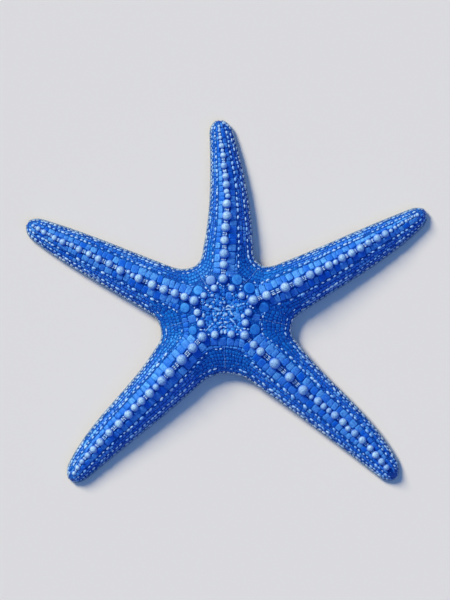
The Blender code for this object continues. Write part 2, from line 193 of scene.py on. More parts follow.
# The rounded end of an arm, and the share of the midline over which the arm widens into the disc.
CAP_LENGTH = 6.0
ROOT_SHARE = 0.2
# How far the outline follows the arms' sides into a notch before it turns, as a share of the way.
NOTCH_FULLNESS = 0.62
# Shares of the midline at which the half-widths and the rows of beads are given.
WIDTH_SHARES = (0.2, 0.5, 0.8, 1.0)
ROW_SHARES = (0.21, 0.4, 0.6, 0.79)
# Where the second row of beads runs in the middle of a crook, as a share of the way to the margin.
CROOK_SECOND_ROW = 0.865
# Heights of the back: at the ring, at a tip, how it falls from one to the other, and at the disc's centre.
CREST_AT_RING = 14.4
CREST_AT_TIP = 5.2
CREST_POWER = 0.85
DISC_CENTRE_HEIGHT = 13.4
# The body's section: the margin's height as a share of the crest's, the powers of the curve between
# them, and the share of the half-width that rolls under.
MARGIN_SHARE = 0.3
RIDGE_POWERS = (1.5, 0.8)
MARGIN_ROLL = 0.2
# The low ridge under each row of beads: width as a share, height, and the body's width for all of it.
RIDGE_WIDTH = 0.035
RIDGE_HEIGHT = 0.2
RIDGE_FULL_AT = 10
# The valley down the middle of each crook: half its width in stations, and its depth.
VALLEY_WIDTH = 1.6
VALLEY_DEPTH = 0.4
# The grooves under the arms: roof height as a share of the crest's, half-width, and its most as a share.
GROOVE_SHARE = 0.34
GROOVE_HALF_WIDTH = 3.0
GROOVE_WIDTH_SHARE = 0.3
MOUTH_HEIGHT = 6.4
# How high a tubercle's middle stands over the skin, as a share of its radius.
TUBERCLE_LIFT = 0.15

# The skin lies this deep inside the body's outline, for what grows on it stands proud of it.
COAT = 0.5
COAT_ON_TOP = COAT * 0.6
COAT_BELOW = COAT * 0.8

# Where a sector's strip starts in its fifth of the skin's unwrapping, and its length; then the same across
# it for the back and the belly.
UNWRAP_STRIP = (0.03, 0.94)
UNWRAP_BACK = (0.52, 0.46)
UNWRAP_BELLY = (0.48, 0.2)
# The side of the patch of unwrapping that each small part takes.
UNWRAP_PATCH = 0.0015
# The width of disc that fills the unwrapping of the parts on it.
UNWRAP_DISC = 50

# Small parts shrink with the body's width: the least size, what is added to it, and the width for all of it.
SLIM_LEAST, SLIM_GAIN, SLIM_FULL_AT = 0.55, 0.45, 11.0


@dataclass(frozen=True)
class BeadRow:
    """A row of pale beads along both sides of every arm and round the crooks between them.

    Attributes:
        pitch: Usual spacing.
        half_sizes: Half a bead's length, width and height.
        least: The row stops where the body is narrower.
        spread: How uneven the spacing is.
        missing: Share of the beads that is left out.
        crowding: How much closer they stand in the crooks.
        fading: How much smaller and rarer they are there.
    """

    pitch: float
    half_sizes: Triple
    least: float
    spread: float
    missing: float
    crowding: float
    fading: float


BEAD_ROWS = (
    BeadRow(3.0, (1.12, 0.62, 0.62), least=3.2, spread=0.35, missing=0.08, crowding=0.0, fading=0.5),
    BeadRow(2.7, (1.15, 0.48, 0.5), least=2.6, spread=0.25, missing=0.08, crowding=0.1, fading=0.3),
    BeadRow(2.6, (1.2, 0.5, 0.46), least=1.2, spread=0.2, missing=0.06, crowding=0.0, fading=0.2),
)
# How far the last row of beads runs from the margin, and the shares between which the others stay.
MARGIN_BEADS_INSET = 0.45
BEAD_ROW_LIMITS = (0.2, 0.95)

# How many courses of small plates fill a strip, by the width of the strip.
COURSES = ((1, 0.35, 1.9), (2, 1.9, 3.6), (3, 3.6, 5.4), (4, 5.4, 7.4), (5, 7.4, 99.0))
COURSE_PITCH = 2.2
# The gap between a row of beads and the small plates beside it.
BEAD_CLEARANCE = 0.4
# The plates beside the midlines: usual length, greatest width, and their gap to the first row of beads.
PLATE_PITCH = 3.3
PLATE_WIDTH = 4.4
PLATE_CLEARANCE = 0.6
# They start under the tubercles, at this share of a tubercle's radius, and this far outside the ring.
PLATE_TUCK = 0.75
RING_SHADOW = 1.9
# The plates behind them, where the body is wide.
FILLER_PITCH = 2.1
# How wide the joints between plates are, how uneven the plates' lengths are, and the least half-size.
JOINT = 0.09
BLOCK_SPREAD = 0.28
LEAST_PLATE = 0.25
# The crook between two arms: its half-length in stations, how much shorter its plates are, and how far
# from the notch their darker finish, a painted shade, reaches.
CROOK_SPAN = 26
CROOK_CROWDING = 0.3
CROOK_SHADE_REACH = 17.0

# Round plates outside the ring: distance and heading from the disc's centre, and radius.
ROUND_PLATES = (
    (16.8, 140.4, 2.5), (17.2, 68.4, 2.8), (17.2, 43.5, 2.7), (17.6, 330.2, 2.7), (18.2, 210.2, 2.2),
    (19.8, 174.0, 2.5), (19.8, 365.8, 2.6),
)
SIEVE_PLATE = (17.0, 113.2, 2.7)

# What lies inside the ring: place from the disc's centre, half-length, half-width and heading of the length.
DISC_BARS = (
    (-0.5, 12.7, 0.25, 0.22, 0), (-0.6, 11.8, 0.25, 0.22, 0), (-0.6, 11, 0.25, 0.22, 0),
    (-0.6, 10.1, 0.25, 0.22, 0), (-0.6, 9.2, 0.25, 0.22, 0), (-0.7, 8.4, 0.25, 0.22, 0),
    (-0.7, 7.1, 0.25, 0.25, 0), (-0.7, 6.3, 0.39, 0.36, 0), (-0.3, 2, 0.44, 0.42, 0),
    (-0.9, 0.9, 0.31, 0.28, 0), (-1.4, 13.1, 0.31, 0.28, 0), (-2.1, 13.6, 0.36, 0.28, 0),
    (-3.4, 14.3, 0.75, 0.42, 60), (-11.1, 5.4, 0.5, 0.36, -10), (-11.8, 4.5, 0.39, 0.36, 0),
    (-10.6, 4.1, 0.36, 0.33, 0), (-8.9, 3.4, 0.86, 0.53, -15), (-6.8, 2.5, 0.92, 0.81, 20),
    (-9.8, 4.8, 0.31, 0.25, 0), (-4.8, 6.1, 0.67, 0.25, -50), (4.1, 8.9, 0.56, 0.5, 0),
    (8.4, 12.7, 0.78, 0.67, 0), (7.9, 11.1, 0.47, 0.47, 0), (11.9, 5, 0.42, 0.36, 0),
    (9.6, 4.1, 0.72, 0.47, 10), (8.3, 3.8, 0.36, 0.31, 0), (7.1, 3.2, 0.94, 0.61, 15),
    (-3.6, 1.3, 2.08, 0.61, -20), (1.4, 2.8, 1, 0.36, 40), (2.9, 2.7, 1.17, 0.39, -25),
    (2.2, 1.3, 1.67, 0.33, -5), (-5.4, -1.1, 0.94, 0.58, 80), (-3.1, -0.9, 0.83, 0.56, 45),
    (-1.7, -0.5, 0.72, 0.42, 60), (-4.2, -1.9, 0.56, 0.33, 20), (-0.3, -1.8, 0.64, 0.47, 60),
    (3.7, -0.9, 0.89, 0.53, -50), (3, 0.2, 0.72, 0.42, -60), (-1.4, -3.4, 0.36, 0.31, 90),
    (-0.3, -3.4, 0.36, 0.31, 90), (-6, -5.9, 0.61, 0.56, 0), (-7.4, -7.3, 1.17, 0.42, 50),
    (-8.8, -8.9, 1.17, 0.33, 50), (-9.9, -8.7, 0.58, 0.36, 80), (4, -4.3, 1.56, 0.47, -48),
    (5.4, -6.1, 0.72, 0.31, -50), (6.8, -7.7, 0.86, 0.44, -50), (8.3, -9.3, 0.86, 0.47, -52),
    (6.1, -8.9, 0.5, 0.33, 80), (10.1, -8.4, 0.72, 0.42, 0), (11.9, -8.6, 0.61, 0.47, 0),
    (-7.8, -11.3, 0.5, 0.39, 0), (6.6, -11.2, 0.81, 0.42, 0), (-11.6, -8.9, 0.83, 0.42, 0),
    (-13.6, -3.9, 0.83, 0.39, 80), (-14.8, 2.1, 0.44, 0.42, 0), (-12.4, 7.2, 0.53, 0.44, 0),
    (2.5, 18.2, 0.56, 0.47, 0), (5.1, -0.7, 0.28, 0.22, 0), (5.5, -0.1, 0.28, 0.22, 0),
    (5, -1.8, 0.28, 0.22, 0), (7.1, 6.1, 0.31, 0.25, 0),
)
DISC_KNOBS = (
    (-9.1, 11.8, 0.83, 0.53, -45), (-7.9, 10.6, 0.58, 0.42, -35), (-7, 9.7, 0.44, 0.39, 0),
    (-6, 8.2, 1.03, 0.92, 0), (2.1, 13.6, 0.92, 0.75, 60), (11.5, 7.5, 0.97, 0.72, 80),
    (4.4, 2.5, 0.83, 0.78, 0), (13, 2.7, 0.75, 0.72, 0), (14.3, 2.1, 0.56, 0.5, 0), (0.8, -1.2, 1.03, 1, 0),
    (-4.5, -4, 0.94, 0.92, 0), (-2, -5.4, 1.17, 0.56, 15), (0.8, -5.2, 1.28, 0.56, -12),
    (-1.7, -7.5, 1, 0.53, 28), (0.4, -7.5, 1.17, 0.53, -24), (-1.3, -10, 0.81, 1.17, 0),
    (0.4, -10, 0.83, 1.17, 0), (-10.4, -1.8, 0.92, 1.28, 10), (9.3, -2.1, 1.06, 1.19, 0),
    (-5.3, 4.8, 0.83, 0.56, -20), (-1.7, 4.6, 0.83, 0.69, 0), (0.1, 4.6, 0.69, 0.78, 0),
)
DISC_PLATES = (
    (-7.8, 5.7, 1.72, 1.14, 20), (-3.5, 7.8, 1.22, 1.22, 0), (-2.5, 9.7, 0.86, 1.19, 0),
    (2.3, 7.9, 1.69, 2.08, 0), (5.8, 5, 1.94, 0.92, -5), (-9.5, 1.7, 2.31, 0.92, -35),
    (-7.9, -3.2, 1.44, 1.44, 0), (-8.5, -6.5, 0.83, 0.75, 0), (6.5, -1.8, 1.61, 2.17, 10),
    (-4.5, -7.5, 1.17, 0.86, 10), (2.9, -7.3, 1.56, 1, -10), (-6.8, -9, 1.33, 0.81, 20),
    (4.1, 11, 1.25, 0.97, 30), (-4.8, 10.7, 0.83, 0.83, 0), (7.8, -5.7, 0.97, 0.83, 0),
    (1.4, -3.7, 1.25, 0.83, -30), (-2.1, 3.5, 0.83, 0.69, 0),
)


def polar(distance: float, heading: float) -> Array:
    """Returns the point at a distance and heading from the disc's centre."""
    angle = math.radians(heading)
    return distance * np.array([math.cos(angle), math.sin(angle)])


def unit(vectors: Array) -> Array:
    """Returns the vectors at a length of 1."""
    return vectors / np.maximum(np.linalg.norm(vectors, axis=-1, keepdims=True), 1e-12)


def leftwards(heading: Array) -> Array:
    """Returns the directions to the left of others, all seen from above."""
    return np.stack([-heading[:, 1], heading[:, 0]], -1)


def circles(table: tuple[Triple, ...]) -> tuple[Array, Array]:
    """Returns the middles and the radii of circles given by distance, heading and radius."""
    return np.array([polar(away, heading) for away, heading, _ in table]), np.array(table)[:, 2]


def slenderness(width: Array | float) -> Array | float:
    """Returns how much smaller small parts are where the body is this wide from midline to margin."""
    return SLIM_LEAST + SLIM_GAIN * np.minimum(1.0, np.asarray(width) / SLIM_FULL_AT)


def bezier(points: list[Array], share: Array) -> Array:
    """Draws a Bezier curve.

    Args:
        points: Its control points.
        share: How far along each wanted point is, from 0 to 1.

    Returns:
        The points of the curve.
    """
    share = share[:, None]
    curve = [np.broadcast_to(point, (len(share), 2)) for point in points]
    while len(curve) > 1:
        curve = [a + (b - a) * share for a, b in zip(curve, curve[1:])]
    return curve[0]


class Midline:
    """The line along an arm's back, with the widths and heights of the arm along it."""

    def __init__(self, plan: ArmPlan) -> None:
        """Lays the line from the ring's corner to the arm's tip.

        Args:
            plan: The arm's.
        """
        self.plan = plan
        self.root = polar(RING_RADIUS, plan.heading)
        tip = np.array(plan.tip)
        chord = tip - self.root
        self.length = float(np.linalg.norm(chord))
        to_left = np.array([-chord[1], chord[0]]) / self.length
        self.curve = [self.root, (self.root + tip) / 2 + 2 * plan.bow * to_left, tip]
        self.widths = [np.polyfit(WIDTH_SHARES, side, 3) for side in (plan.left, plan.right)]

    def point(self, distance: Array) -> Array:
        """Returns places at distances from the ring's corner; negative ones run on towards the mouth."""
        outwards = bezier(self.curve, np.maximum(distance, 0) / self.length)
        return np.where(distance[:, None] < 0, self.root * (1 + distance[:, None] / RING_RADIUS), outwards)

    def direction(self, distance: Array) -> Array:
        """Returns the line's direction at distances from the ring's corner."""
        share, (before, after) = (distance / self.length)[:, None], np.diff(self.curve, axis=0)
        return unit(before * (1 - share) + after * share)

    def roundness(self, distance: Array) -> Array:
        """Returns 1 along the arm, falling to 0 round its end."""
        inset = np.maximum(0.0, 1 - (self.length - distance) / CAP_LENGTH)
        return np.sqrt(np.maximum(0.0, 1 - inset**2))

    def edge(self, distance: Array, side: int) -> Array:
        """Returns points of the outline, on the left for a side of 0 and on the right for 1."""
        width = np.polyval(self.widths[side], distance / self.length) * self.roundness(distance)
        return self.point(distance) + leftwards(self.direction(distance)) * (1 - 2 * side) * width[:, None]

    def crest(self, distance: Array) -> Array:
        """Returns the height of the back at distances from the ring's corner."""
        share = 1 - np.maximum(0.0, distance) / self.length
        return CREST_AT_TIP + (CREST_AT_RING - CREST_AT_TIP) * share**CREST_POWER

    def on_crest(self, distance: Array, to_left: Array) -> tuple[Array, Array]:
        """Finds places on the skin near the midline.

        Args:
            distance: Of each from the ring's corner.
            to_left: How far each stands to the left of the line.

        Returns:
            The places, and the line's direction at each.
        """
        along = self.direction(np.maximum(distance, 0.0))
        aside = leftwards(along) * to_left[:, None]
        height = self.crest(distance)
        foot = MARGIN_SHARE * height
        height = foot + (height - foot - COAT_ON_TOP) * self.roundness(distance)
        return np.insert(self.point(distance) + aside, 2, height, axis=1), np.insert(along, 2, 0.0, axis=1)


def ring_side(first: Midline, last: Midline, share: Array, radius: float) -> Array:
    """Draws one side of a ring round the centre.

    Args:
        first: The midline at its start.
        last: The midline at its end.
        share: How far along each wanted point is, from 0 to 1.
        radius: Of the ring's corners.

    Returns:
        The points.
    """
    start, end = (polar(radius, line.plan.heading) for line in (first, last))
    middle = unit(start + end)
    inwards = 4 * share * (1 - share) * RING_BOW * radius / RING_RADIUS
    return start + (end - start) * share[:, None] - middle * inwards[:, None]


def meeting(place: Array, heading: Array, level: Array, across: Array) -> Array:
    """Returns where a line of a heading through a place meets one of a direction across through a level."""
    run = np.linalg.solve(np.array([heading, -across]).T, level - place)[0]
    return place + heading * run


def notch_turn(first: Midline, last: Midline, share: Array) -> Array:
    """Draws the outline's turn from one arm through the notch to the next.

    Args:
        first: The midline of the arm before the notch.
        last: The midline of the arm after it.
        share: How far along each wanted point is, from 0 to 1.

    Returns:
        The points.
    """
    from_root = np.array([ROOT_SHARE * first.length])
    to_root = np.array([ROOT_SHARE * last.length])
    start, end = first.edge(from_root, 0)[0], last.edge(to_root, 1)[0]
    notch = polar(*first.plan.notch[:2])
    across = unit(end - start)
    before = meeting(start, -first.direction(from_root)[0], notch, across)
    after = meeting(end, -last.direction(to_root)[0], notch, across)
    hold = NOTCH_FULLNESS
    inwards = [start, start + (before - start) * hold, notch + (before - notch) * hold, notch]
    outwards = [notch, notch + (after - notch) * hold, end + (after - end) * hold, end]
    half = share < 0.5
    return np.where(half[:, None], bezier(inwards, share * 2), bezier(outwards, share * 2 - 1))


# ---- Places on the skin ------------------------------


@dataclass
class Places:
    """Where small parts stand, which way each faces and lies, its sizes, and its place in the unwrapping."""

    position: Array
    facing: Array
    along: Array
    size: Array
    unwrap: Array

    @property
    def parts(self) -> tuple[Array, ...]:
        """Returns the five lists of values, in the order of their names above."""
        return self.position, self.facing, self.along, self.size, self.unwrap

    def scaled(self, size: Array) -> "Places":
        """Returns the same places with other sizes."""
        size = np.broadcast_to(np.asarray(size, float).reshape(len(self.position), -1), self.size.shape)
        return Places(self.position, self.facing, self.along, size, self.unwrap)

    def raised(self, height: Array | float) -> "Places":
        """Returns the same places, moved out of the skin."""
        moved = self.position + self.facing * np.reshape(height, (-1, 1))
        return Places(moved, self.facing, self.along, self.size, self.unwrap)

    def chosen(self, keep: Array) -> "Places":
        """Returns some of the places."""
        return Places(*(part[keep] for part in self.parts))

    @staticmethod
    def joined(sets: list["Places"]) -> "Places":
        """Returns several sets of places as one."""
        return Places(*map(np.concatenate, zip(*(places.parts for places in sets))))

    @staticmethod
    def of(position: Array, facing: Array, along: Array, unwrap: Array) -> "Places":
        """Returns places with all sizes 1."""
        return Places(position, unit(facing), unit(along), np.ones((len(position), 3)), unwrap)


@dataclass
class Sector:
    """The part of the body between the midlines of two neighbouring arms.

    Its stations run from the tip of the first arm, down its left side, round the notch and up the right side
    of the next arm. A share of 0 is the midline, or the ring on the disc, and 1 is the margin.
    The steps are stations round an arm's end, along it, from its root to the ring, and along the ring's side.
    The columns are points from midline to margin, where they stand closer by a power.
    """

    number: int
    first: Midline
    last: Midline
    cap_steps: int = 10
    arm_steps: int = 104
    root_steps: int = 22
    side_steps: int = 26
    columns: int = 44
    column_power: float = 1.5

    def __post_init__(self) -> None:
        """Lays out the stations and the grid of the back."""
        first, last = self._arm(self.first, 0), [part[::-1] for part in self._arm(self.last, 1)]
        parts = [np.concatenate(three) for three in zip(first, self._middle(), last)]
        self.back, self.crest, self.groove, self.margin, self.roundness = parts
        self.width = np.linalg.norm(self.margin - self.back, axis=1)
        self.crook = self.cap_steps + self.arm_steps + self.root_steps + self.side_steps / 2
        rows = [self._row(number) * self.width for number in (0, 1)]
        self.plate_edge = self._plate_edge()
        self._inset_margin()
        width = np.maximum(self.width, 2 * MARGIN_BEADS_INSET)
        self.rows = [np.clip(row / width, *BEAD_ROW_LIMITS) for row in rows]
        self.rows.append(1 - MARGIN_BEADS_INSET / width)
        steps = np.linspace(0, 1, self.columns)
        self.shares = 1 - (1 - steps) ** self.column_power
        self.grid = self._back_grid()
        onward = unit(np.gradient(self.grid, axis=0))
        normals = unit(np.cross(onward, unit(np.gradient(self.grid, axis=1))))
        self.surface = (self.grid, normals * np.sign(normals[:, :, 2:] + 1e-9), onward)

    def _distances(self, line: Midline) -> Array:
        """Returns how far from the ring's corner an arm's stations are, from its tip to its root."""
        cap = CAP_LENGTH * (1 - np.cos(np.linspace(0, math.pi / 2, self.cap_steps, endpoint=False)))
        return line.length - np.append(
            cap, np.linspace(CAP_LENGTH, line.length * (1 - ROOT_SHARE), self.arm_steps + 1)
        )

    def _arm(self, line: Midline, side: int) -> list[Array]:
        """Finds what an arm's side is like at its stations.

        Args:
            line: The arm's midline.
            side: 0 on the left and 1 on the right.

        Returns:
            Midline, height, groove, margin and roundness, from the tip to the root.
        """
        distance = self._distances(line)
        back, edge = line.point(distance), line.edge(distance, side)
        return [back, line.crest(distance), back, edge, line.roundness(distance)]

    def _row(self, number: int) -> Array:
        """Runs a row of beads from arm to arm.

        Args:
            number: 0 for the first row and 1 for the second.

        Returns:
            The row's share at each station.
        """
        reach = [self._distances(line) / line.length for line in (self.first, self.last)]
        ends = [
            np.interp(reach[0], ROW_SHARES, self.first.plan.left_rows[number]),
            np.interp(reach[1], ROW_SHARES, self.last.plan.right_rows[number])[::-1],
        ]
        count = len(self.width) - len(ends[0]) - len(ends[1])
        across = np.abs(np.linspace(-1, 1, count))
        from_crook = across**2 * (3 - 2 * across)
        middle = (self.first.plan.notch[2], CROOK_SECOND_ROW)[number]
        root = np.where(np.arange(count) < count / 2, ends[0][-1], ends[1][0])
        return np.concatenate([ends[0], middle + (root - middle) * from_crook, ends[1]])

    def _plate_edge(self) -> Array:
        """Finds where the tubercles' shadow ends and the plates begin.

        Returns:
            How far from the midline that is, at each station.
        """
        ends = []
        for line, side in ((self.first, 1), (self.last, -1)):
            distance, to_left, radius = np.array(line.plan.row).T
            away = np.concatenate([self._distances(line), ROOT_SHARE * line.length * self._down()])
            edge = np.interp(away, distance, radius) * PLATE_TUCK + side * np.interp(away, distance, to_left)
            ends.append(edge)
        ring = np.full(self.side_steps - 1, RING_SHADOW)
        return np.concatenate([ends[0], ring, ends[1][::-1]])

    def _down(self) -> Array:
        """Returns how far out the stations between an arm's root and the ring's corner are."""
        return 1 - np.arange(1, self.root_steps + 1) / self.root_steps

    def _middle(self) -> list[Array]:
        """Finds what the body is like at the stations between the roots of the two arms.

        Returns:
            Midline, height, groove, margin and roundness.
        """
        root, side = self.root_steps, self.side_steps
        turn = np.arange(1, 2 * root + side) / (2 * root + side)
        deepest = MOUTH_RADIUS - RING_RADIUS
        down, up = self._down(), self._down()[::-1]
        reach = [ROOT_SHARE * line.length for line in (self.first, self.last)]
        across = np.arange(1, side) / side
        back = [
            self.first.point(reach[0] * down),
            ring_side(self.first, self.last, across, RING_RADIUS),
            self.last.point(reach[1] * up),
        ]
        groove = [
            self.first.point(deepest + (reach[0] - deepest) * down),
            ring_side(self.first, self.last, across, MOUTH_RADIUS),
            self.last.point(deepest + (reach[1] - deepest) * up),
        ]
        crest = [
            self.first.crest(reach[0] * down),
            across * 0 + CREST_AT_RING,
            self.last.crest(reach[1] * up),
        ]
        back, crest, groove = (np.concatenate(three) for three in (back, crest, groove))
        return [back, crest, groove, notch_turn(self.first, self.last, turn), turn * 0 + 1]

    def _inset_margin(self) -> None:
        """Draws the margin in by the depth of the coat."""
        inwards = self.back - self.margin
        reach = np.minimum(COAT, self.width * 0.5)
        self.margin = self.margin + unit(inwards) * reach[:, None]
        self.width = np.linalg.norm(self.margin - self.back, axis=1)

    def _back_grid(self) -> Array:
        """Builds the surface of the back.

        Returns:
            Its points, by station and share.
        """
        share = self.shares[None, :]
        foot = MARGIN_SHARE * self.crest[:, None]
        rise = self.crest[:, None] - foot - COAT_ON_TOP
        slope = (1 - share ** RIDGE_POWERS[0]) ** RIDGE_POWERS[1]
        ridges = sum(np.exp(-(((share - row[:, None]) / RIDGE_WIDTH) ** 2)) for row in self.rows)
        relief = RIDGE_HEIGHT * ridges * np.minimum(1, self.width / RIDGE_FULL_AT)[:, None]
        away = (np.arange(len(self.back)) - self.crook)[:, None] / VALLEY_WIDTH
        fall = np.sin(math.pi * np.clip(share * 1.05, 0, 1))
        relief = relief - VALLEY_DEPTH * np.exp(-(away**2)) * fall
        height = foot + (rise * slope + relief * (share < 1)) * self.roundness[:, None]
        place = self.back[:, None] + (self.margin - self.back)[:, None] * share[:, :, None]
        return np.insert(place, 2, height, axis=2)

    def _sample(self, grid: Array, station: Array, share: Array) -> Array:
        """Reads a grid between its points.

        Args:
            grid: Values by station and share.
            station: Of each wanted value.
            share: Of each wanted value.

        Returns:
            The values.
        """
        station = np.clip(station, 0, len(grid) - 1.001)
        column = np.clip(np.interp(share, self.shares, np.arange(self.columns)), 0, self.columns - 1.001)
        i, j = station.astype(int), column.astype(int)
        u, v = (station - i)[:, None], (column - j)[:, None]
        near = grid[i, j] * (1 - v) + grid[i, j + 1] * v
        far = grid[i + 1, j] * (1 - v) + grid[i + 1, j + 1] * v
        return near * (1 - u) + far * u

    def unwrap_strip(self, station: Array) -> Array:
        """Returns how far along the skin's unwrapping stations are."""
        return (self.number + UNWRAP_STRIP[0] + UNWRAP_STRIP[1] * station / len(self.back)) / len(ARM_PLANS)

    def unwrap(self, station: Array, share: Array) -> Array:
        """Returns where points of the back lie on an unwrapping of the skin."""
        across = UNWRAP_BACK[0] + UNWRAP_BACK[1] * share
        return np.stack([self.unwrap_strip(station), across, share * 0], -1)

    def places(self, station: Array, share: Array | float) -> Places:
        """Returns places on the back."""
        at = [np.asarray(part, float) for part in np.broadcast_arrays(station, share)]
        return Places.of(*(self._sample(grid, *at) for grid in self.surface), self.unwrap(*at))

    @staticmethod
    def between(values: Array, station: Array | float) -> Array:
        """Returns values at stations, from those at each whole station."""
        columns = [np.interp(station, np.arange(len(values)), column) for column in np.atleast_2d(values.T)]
        return columns[0] if values.ndim == 1 else np.stack(columns, -1)

    def slimness(self, station: Array) -> Array:
        """Returns how much smaller small parts are at stations."""
        return slenderness(self.between(self.width, station))

    def row(
        self, share: Array | float, pitch: float, chance: random.Random,
        spread: float = 0.0, least: float = 0.0, crowding: float = 0.0,
    ) -> Array:
        """Spaces a row out along the back.

        Args:
            share: The row's share, or one for each station.
            pitch: Usual spacing; it shrinks where the body is narrow.
            chance: Draws the unevenness.
            spread: How uneven the spacing is.
            least: The row stops where the body is narrower.
            crowding: How much closer the row is in the crook.

        Returns:
            The row's stations.
        """
        stations = np.arange(len(self.back), dtype=float)
        line = self._sample(self.grid, stations, np.broadcast_to(np.asarray(share, float), stations.shape))
        run = np.concatenate([[0], np.cumsum(np.linalg.norm(np.diff(line, axis=0), axis=1))])
        found, at = [], pitch * 0.3
        while at < run[-1]:
            station = float(np.interp(at, run, stations))
            wide = float(self.between(self.width, station))
            if wide > least:
                found.append(station)
            tightness = 1 - crowding * float(self.nearness(station))
            at += pitch * slenderness(wide) * tightness * (1 + chance.uniform(-spread, spread))
        return np.array(found)

    def nearness(self, stations: Array | float) -> Array | float:
        """Returns how near stations are to the middle of the crook: 1 there, 0 far away."""
        return np.exp(-(((stations - self.crook) / CROOK_SPAN) ** 2))

    def blocks(
        self, inner: Array, outer: Array, pitch: float, chance: random.Random, crowding: float = 0.0
    ) -> Places:
        """Lays blocks end to end, each sized to fill its stretch of a strip.

        Args:
            inner: How far from the midline the strip begins at each station.
            outer: How far from it the strip ends.
            pitch: Usual length of a block.
            chance: Draws the unevenness.
            crowding: How much shorter the blocks are in the crook.

        Returns:
            The blocks' places.
        """
        share = (inner + outer) / 2 / np.maximum(self.width, 0.5)
        half_width = (outer - inner) / 2
        joints = self.row(share, pitch, chance, BLOCK_SPREAD, crowding=crowding)
        ends = self.places(joints, self.between(share, joints)).position
        half_length = np.linalg.norm(np.diff(ends, axis=0), axis=1) / 2
        middle = (joints[1:] + joints[:-1]) / 2
        places = self.places(middle, self.between(share, middle))
        half_width = self.between(half_width, middle)
        size = [half_length - JOINT / 2, half_width - JOINT / 2, half_width * 0 + 1]
        return places.scaled(np.stack(size, -1))


@dataclass
class Plan:
    """The whole animal's plan, and the place of the disc's centre in the frame."""

    centre: Array
    sectors: list[Sector]

    @staticmethod
    def on(low: Vector, high: Vector) -> "Plan":
        """Lays the plan out, with its outline in the middle of the frame's box.

        Args:
            low: The box's lowest corner, in metres.
            high: Its highest corner.

        Returns:
            The plan.
        """
        lines = [Midline(plan) for plan in ARM_PLANS]
        sectors = [Sector(number, *pair) for number, pair in enumerate(zip(lines, (*lines[1:], lines[0])))]
        outline = np.concatenate([sector.margin for sector in sectors])
        drawn = (outline.min(0) + outline.max(0)) / 2
        framed = np.array([low[0] + high[0], low[1] + high[1]]) / 2 / MM
        return Plan(framed - drawn, sectors)


@dataclass
class Ground:
    """The finished skin as a tree of faces, to stand parts on from straight above."""

    tree: BVHTree
    centre: Array

    @staticmethod
    def of(skin: Object, centre: Array) -> "Ground":
        """Makes the ground from a skin.

        Args:
            skin: The skin's object.
            centre: The disc's centre.

        Returns:
            The ground.
        """
        work = bmesh.new()
        work.from_mesh(skin.data)
        tree = BVHTree.FromBMesh(work)
        work.free()
        return Ground(tree, centre)

    def places(self, spots: Array, headings: Array) -> Places:
        """Finds places on the skin.

        Args:
            spots: Where they are from above, from the disc's centre.
            headings: Of each part's length.

        Returns:
            The places.
        """
        found = []
        for spot in (spots + self.centre) * MM:
            place, normal, _, _ = self.tree.ray_cast(Vector((*spot, 1.0)), Vector((0, 0, -1)))
            found.append((*(np.array(place) / MM), *normal))
        found = np.array(found)
        position = found[:, :3] - np.array([*self.centre, 0.0])
        turn = np.radians(headings)
        along = np.stack([np.cos(turn), np.sin(turn), turn * 0], -1)
        around = (0.5 + spots / UNWRAP_DISC) * np.array([1, 0.5])
        return Places.of(position, found[:, 3:], along, np.concatenate([around, spots[:, :1] * 0], axis=1))


def disc_height(reach: Array) -> Array:
    """Returns the height of the disc's middle, at shares of the way to the ring."""
    return DISC_CENTRE_HEIGHT + (CREST_AT_RING - DISC_CENTRE_HEIGHT) * reach**2 - COAT_ON_TOP


# ---- Nodes and meshes ------------------------------


def add_node(tree: Any, kind: str, inputs: dict[Any, Any] | None = None, **settings: Any) -> Any:
    """Adds a node with its settings and links.

    Args:
        tree: The tree that it joins.
        kind: Its type.
        inputs: Sockets by name or number, each with a value, or with the socket that feeds it.
        settings: Properties of the node.

    Returns:
        The node.
    """
    node = tree.nodes.new(kind)
    for key, value in settings.items():
        setattr(node, key, value)
    for key, value in (inputs or {}).items():
        if isinstance(key, int):
            socket = node.inputs[key]
        else:
            socket = next(s for s in node.inputs if s.name == key and s.enabled)
        if isinstance(value, NodeSocket):
            tree.links.new(value, socket)
        else:
            socket.default_value = value
    return node


def linear(hex_colour: str) -> tuple[float, float, float, float]:
    """Returns the linear values of an sRGB colour that is written as #RRGGBB, with an alpha of 1."""
    channels = [int(hex_colour[i : i + 2], 16) / 255 for i in (1, 3, 5)]
    return (*(c / 12.92 if c <= 0.04045 else ((c + 0.055) / 1.055) ** 2.4 for c in channels), 1.0)


def add_object(name: str, data: Any) -> Object:
    """Adds an object to the scene, at the origin.

    Args:
        name: Of the object.
        data: Its mesh, light or camera.

    Returns:
        The object.
    """
    made = bpy.data.objects.new(name, data)
    bpy.context.scene.collection.objects.link(made)
    return made


def settled(guide: Object, name: str) -> Object:
    """Turns the result of an object's modifiers into a plain mesh object, and removes the object.

    Args:
        guide: The object with the modifiers.
        name: Of the plain object.

    Returns:
        The plain object.
    """
    graph = bpy.context.evaluated_depsgraph_get()
    done = guide.evaluated_get(graph)
    mesh = bpy.data.meshes.new_from_object(done, preserve_all_data_layers=True, depsgraph=graph)
    mesh.name = name
    source = guide.data
    bpy.data.objects.remove(guide)
    bpy.data.meshes.remove(source)
    return add_object(name, mesh)


def mesh_of(name: str, points: Array, faces: Array) -> Mesh:
    """Makes a smooth mesh.

    Args:
        name: Of the mesh.
        points: Its vertices, in millimetres.
        faces: The numbers of each face's vertices, all faces alike.

    Returns:
        The mesh.
    """
    mesh = bpy.data.meshes.new(name)
    mesh.from_pydata((points * MM).tolist(), [], faces.tolist())
    mesh.update()
    mesh.shade_smooth()
    return mesh


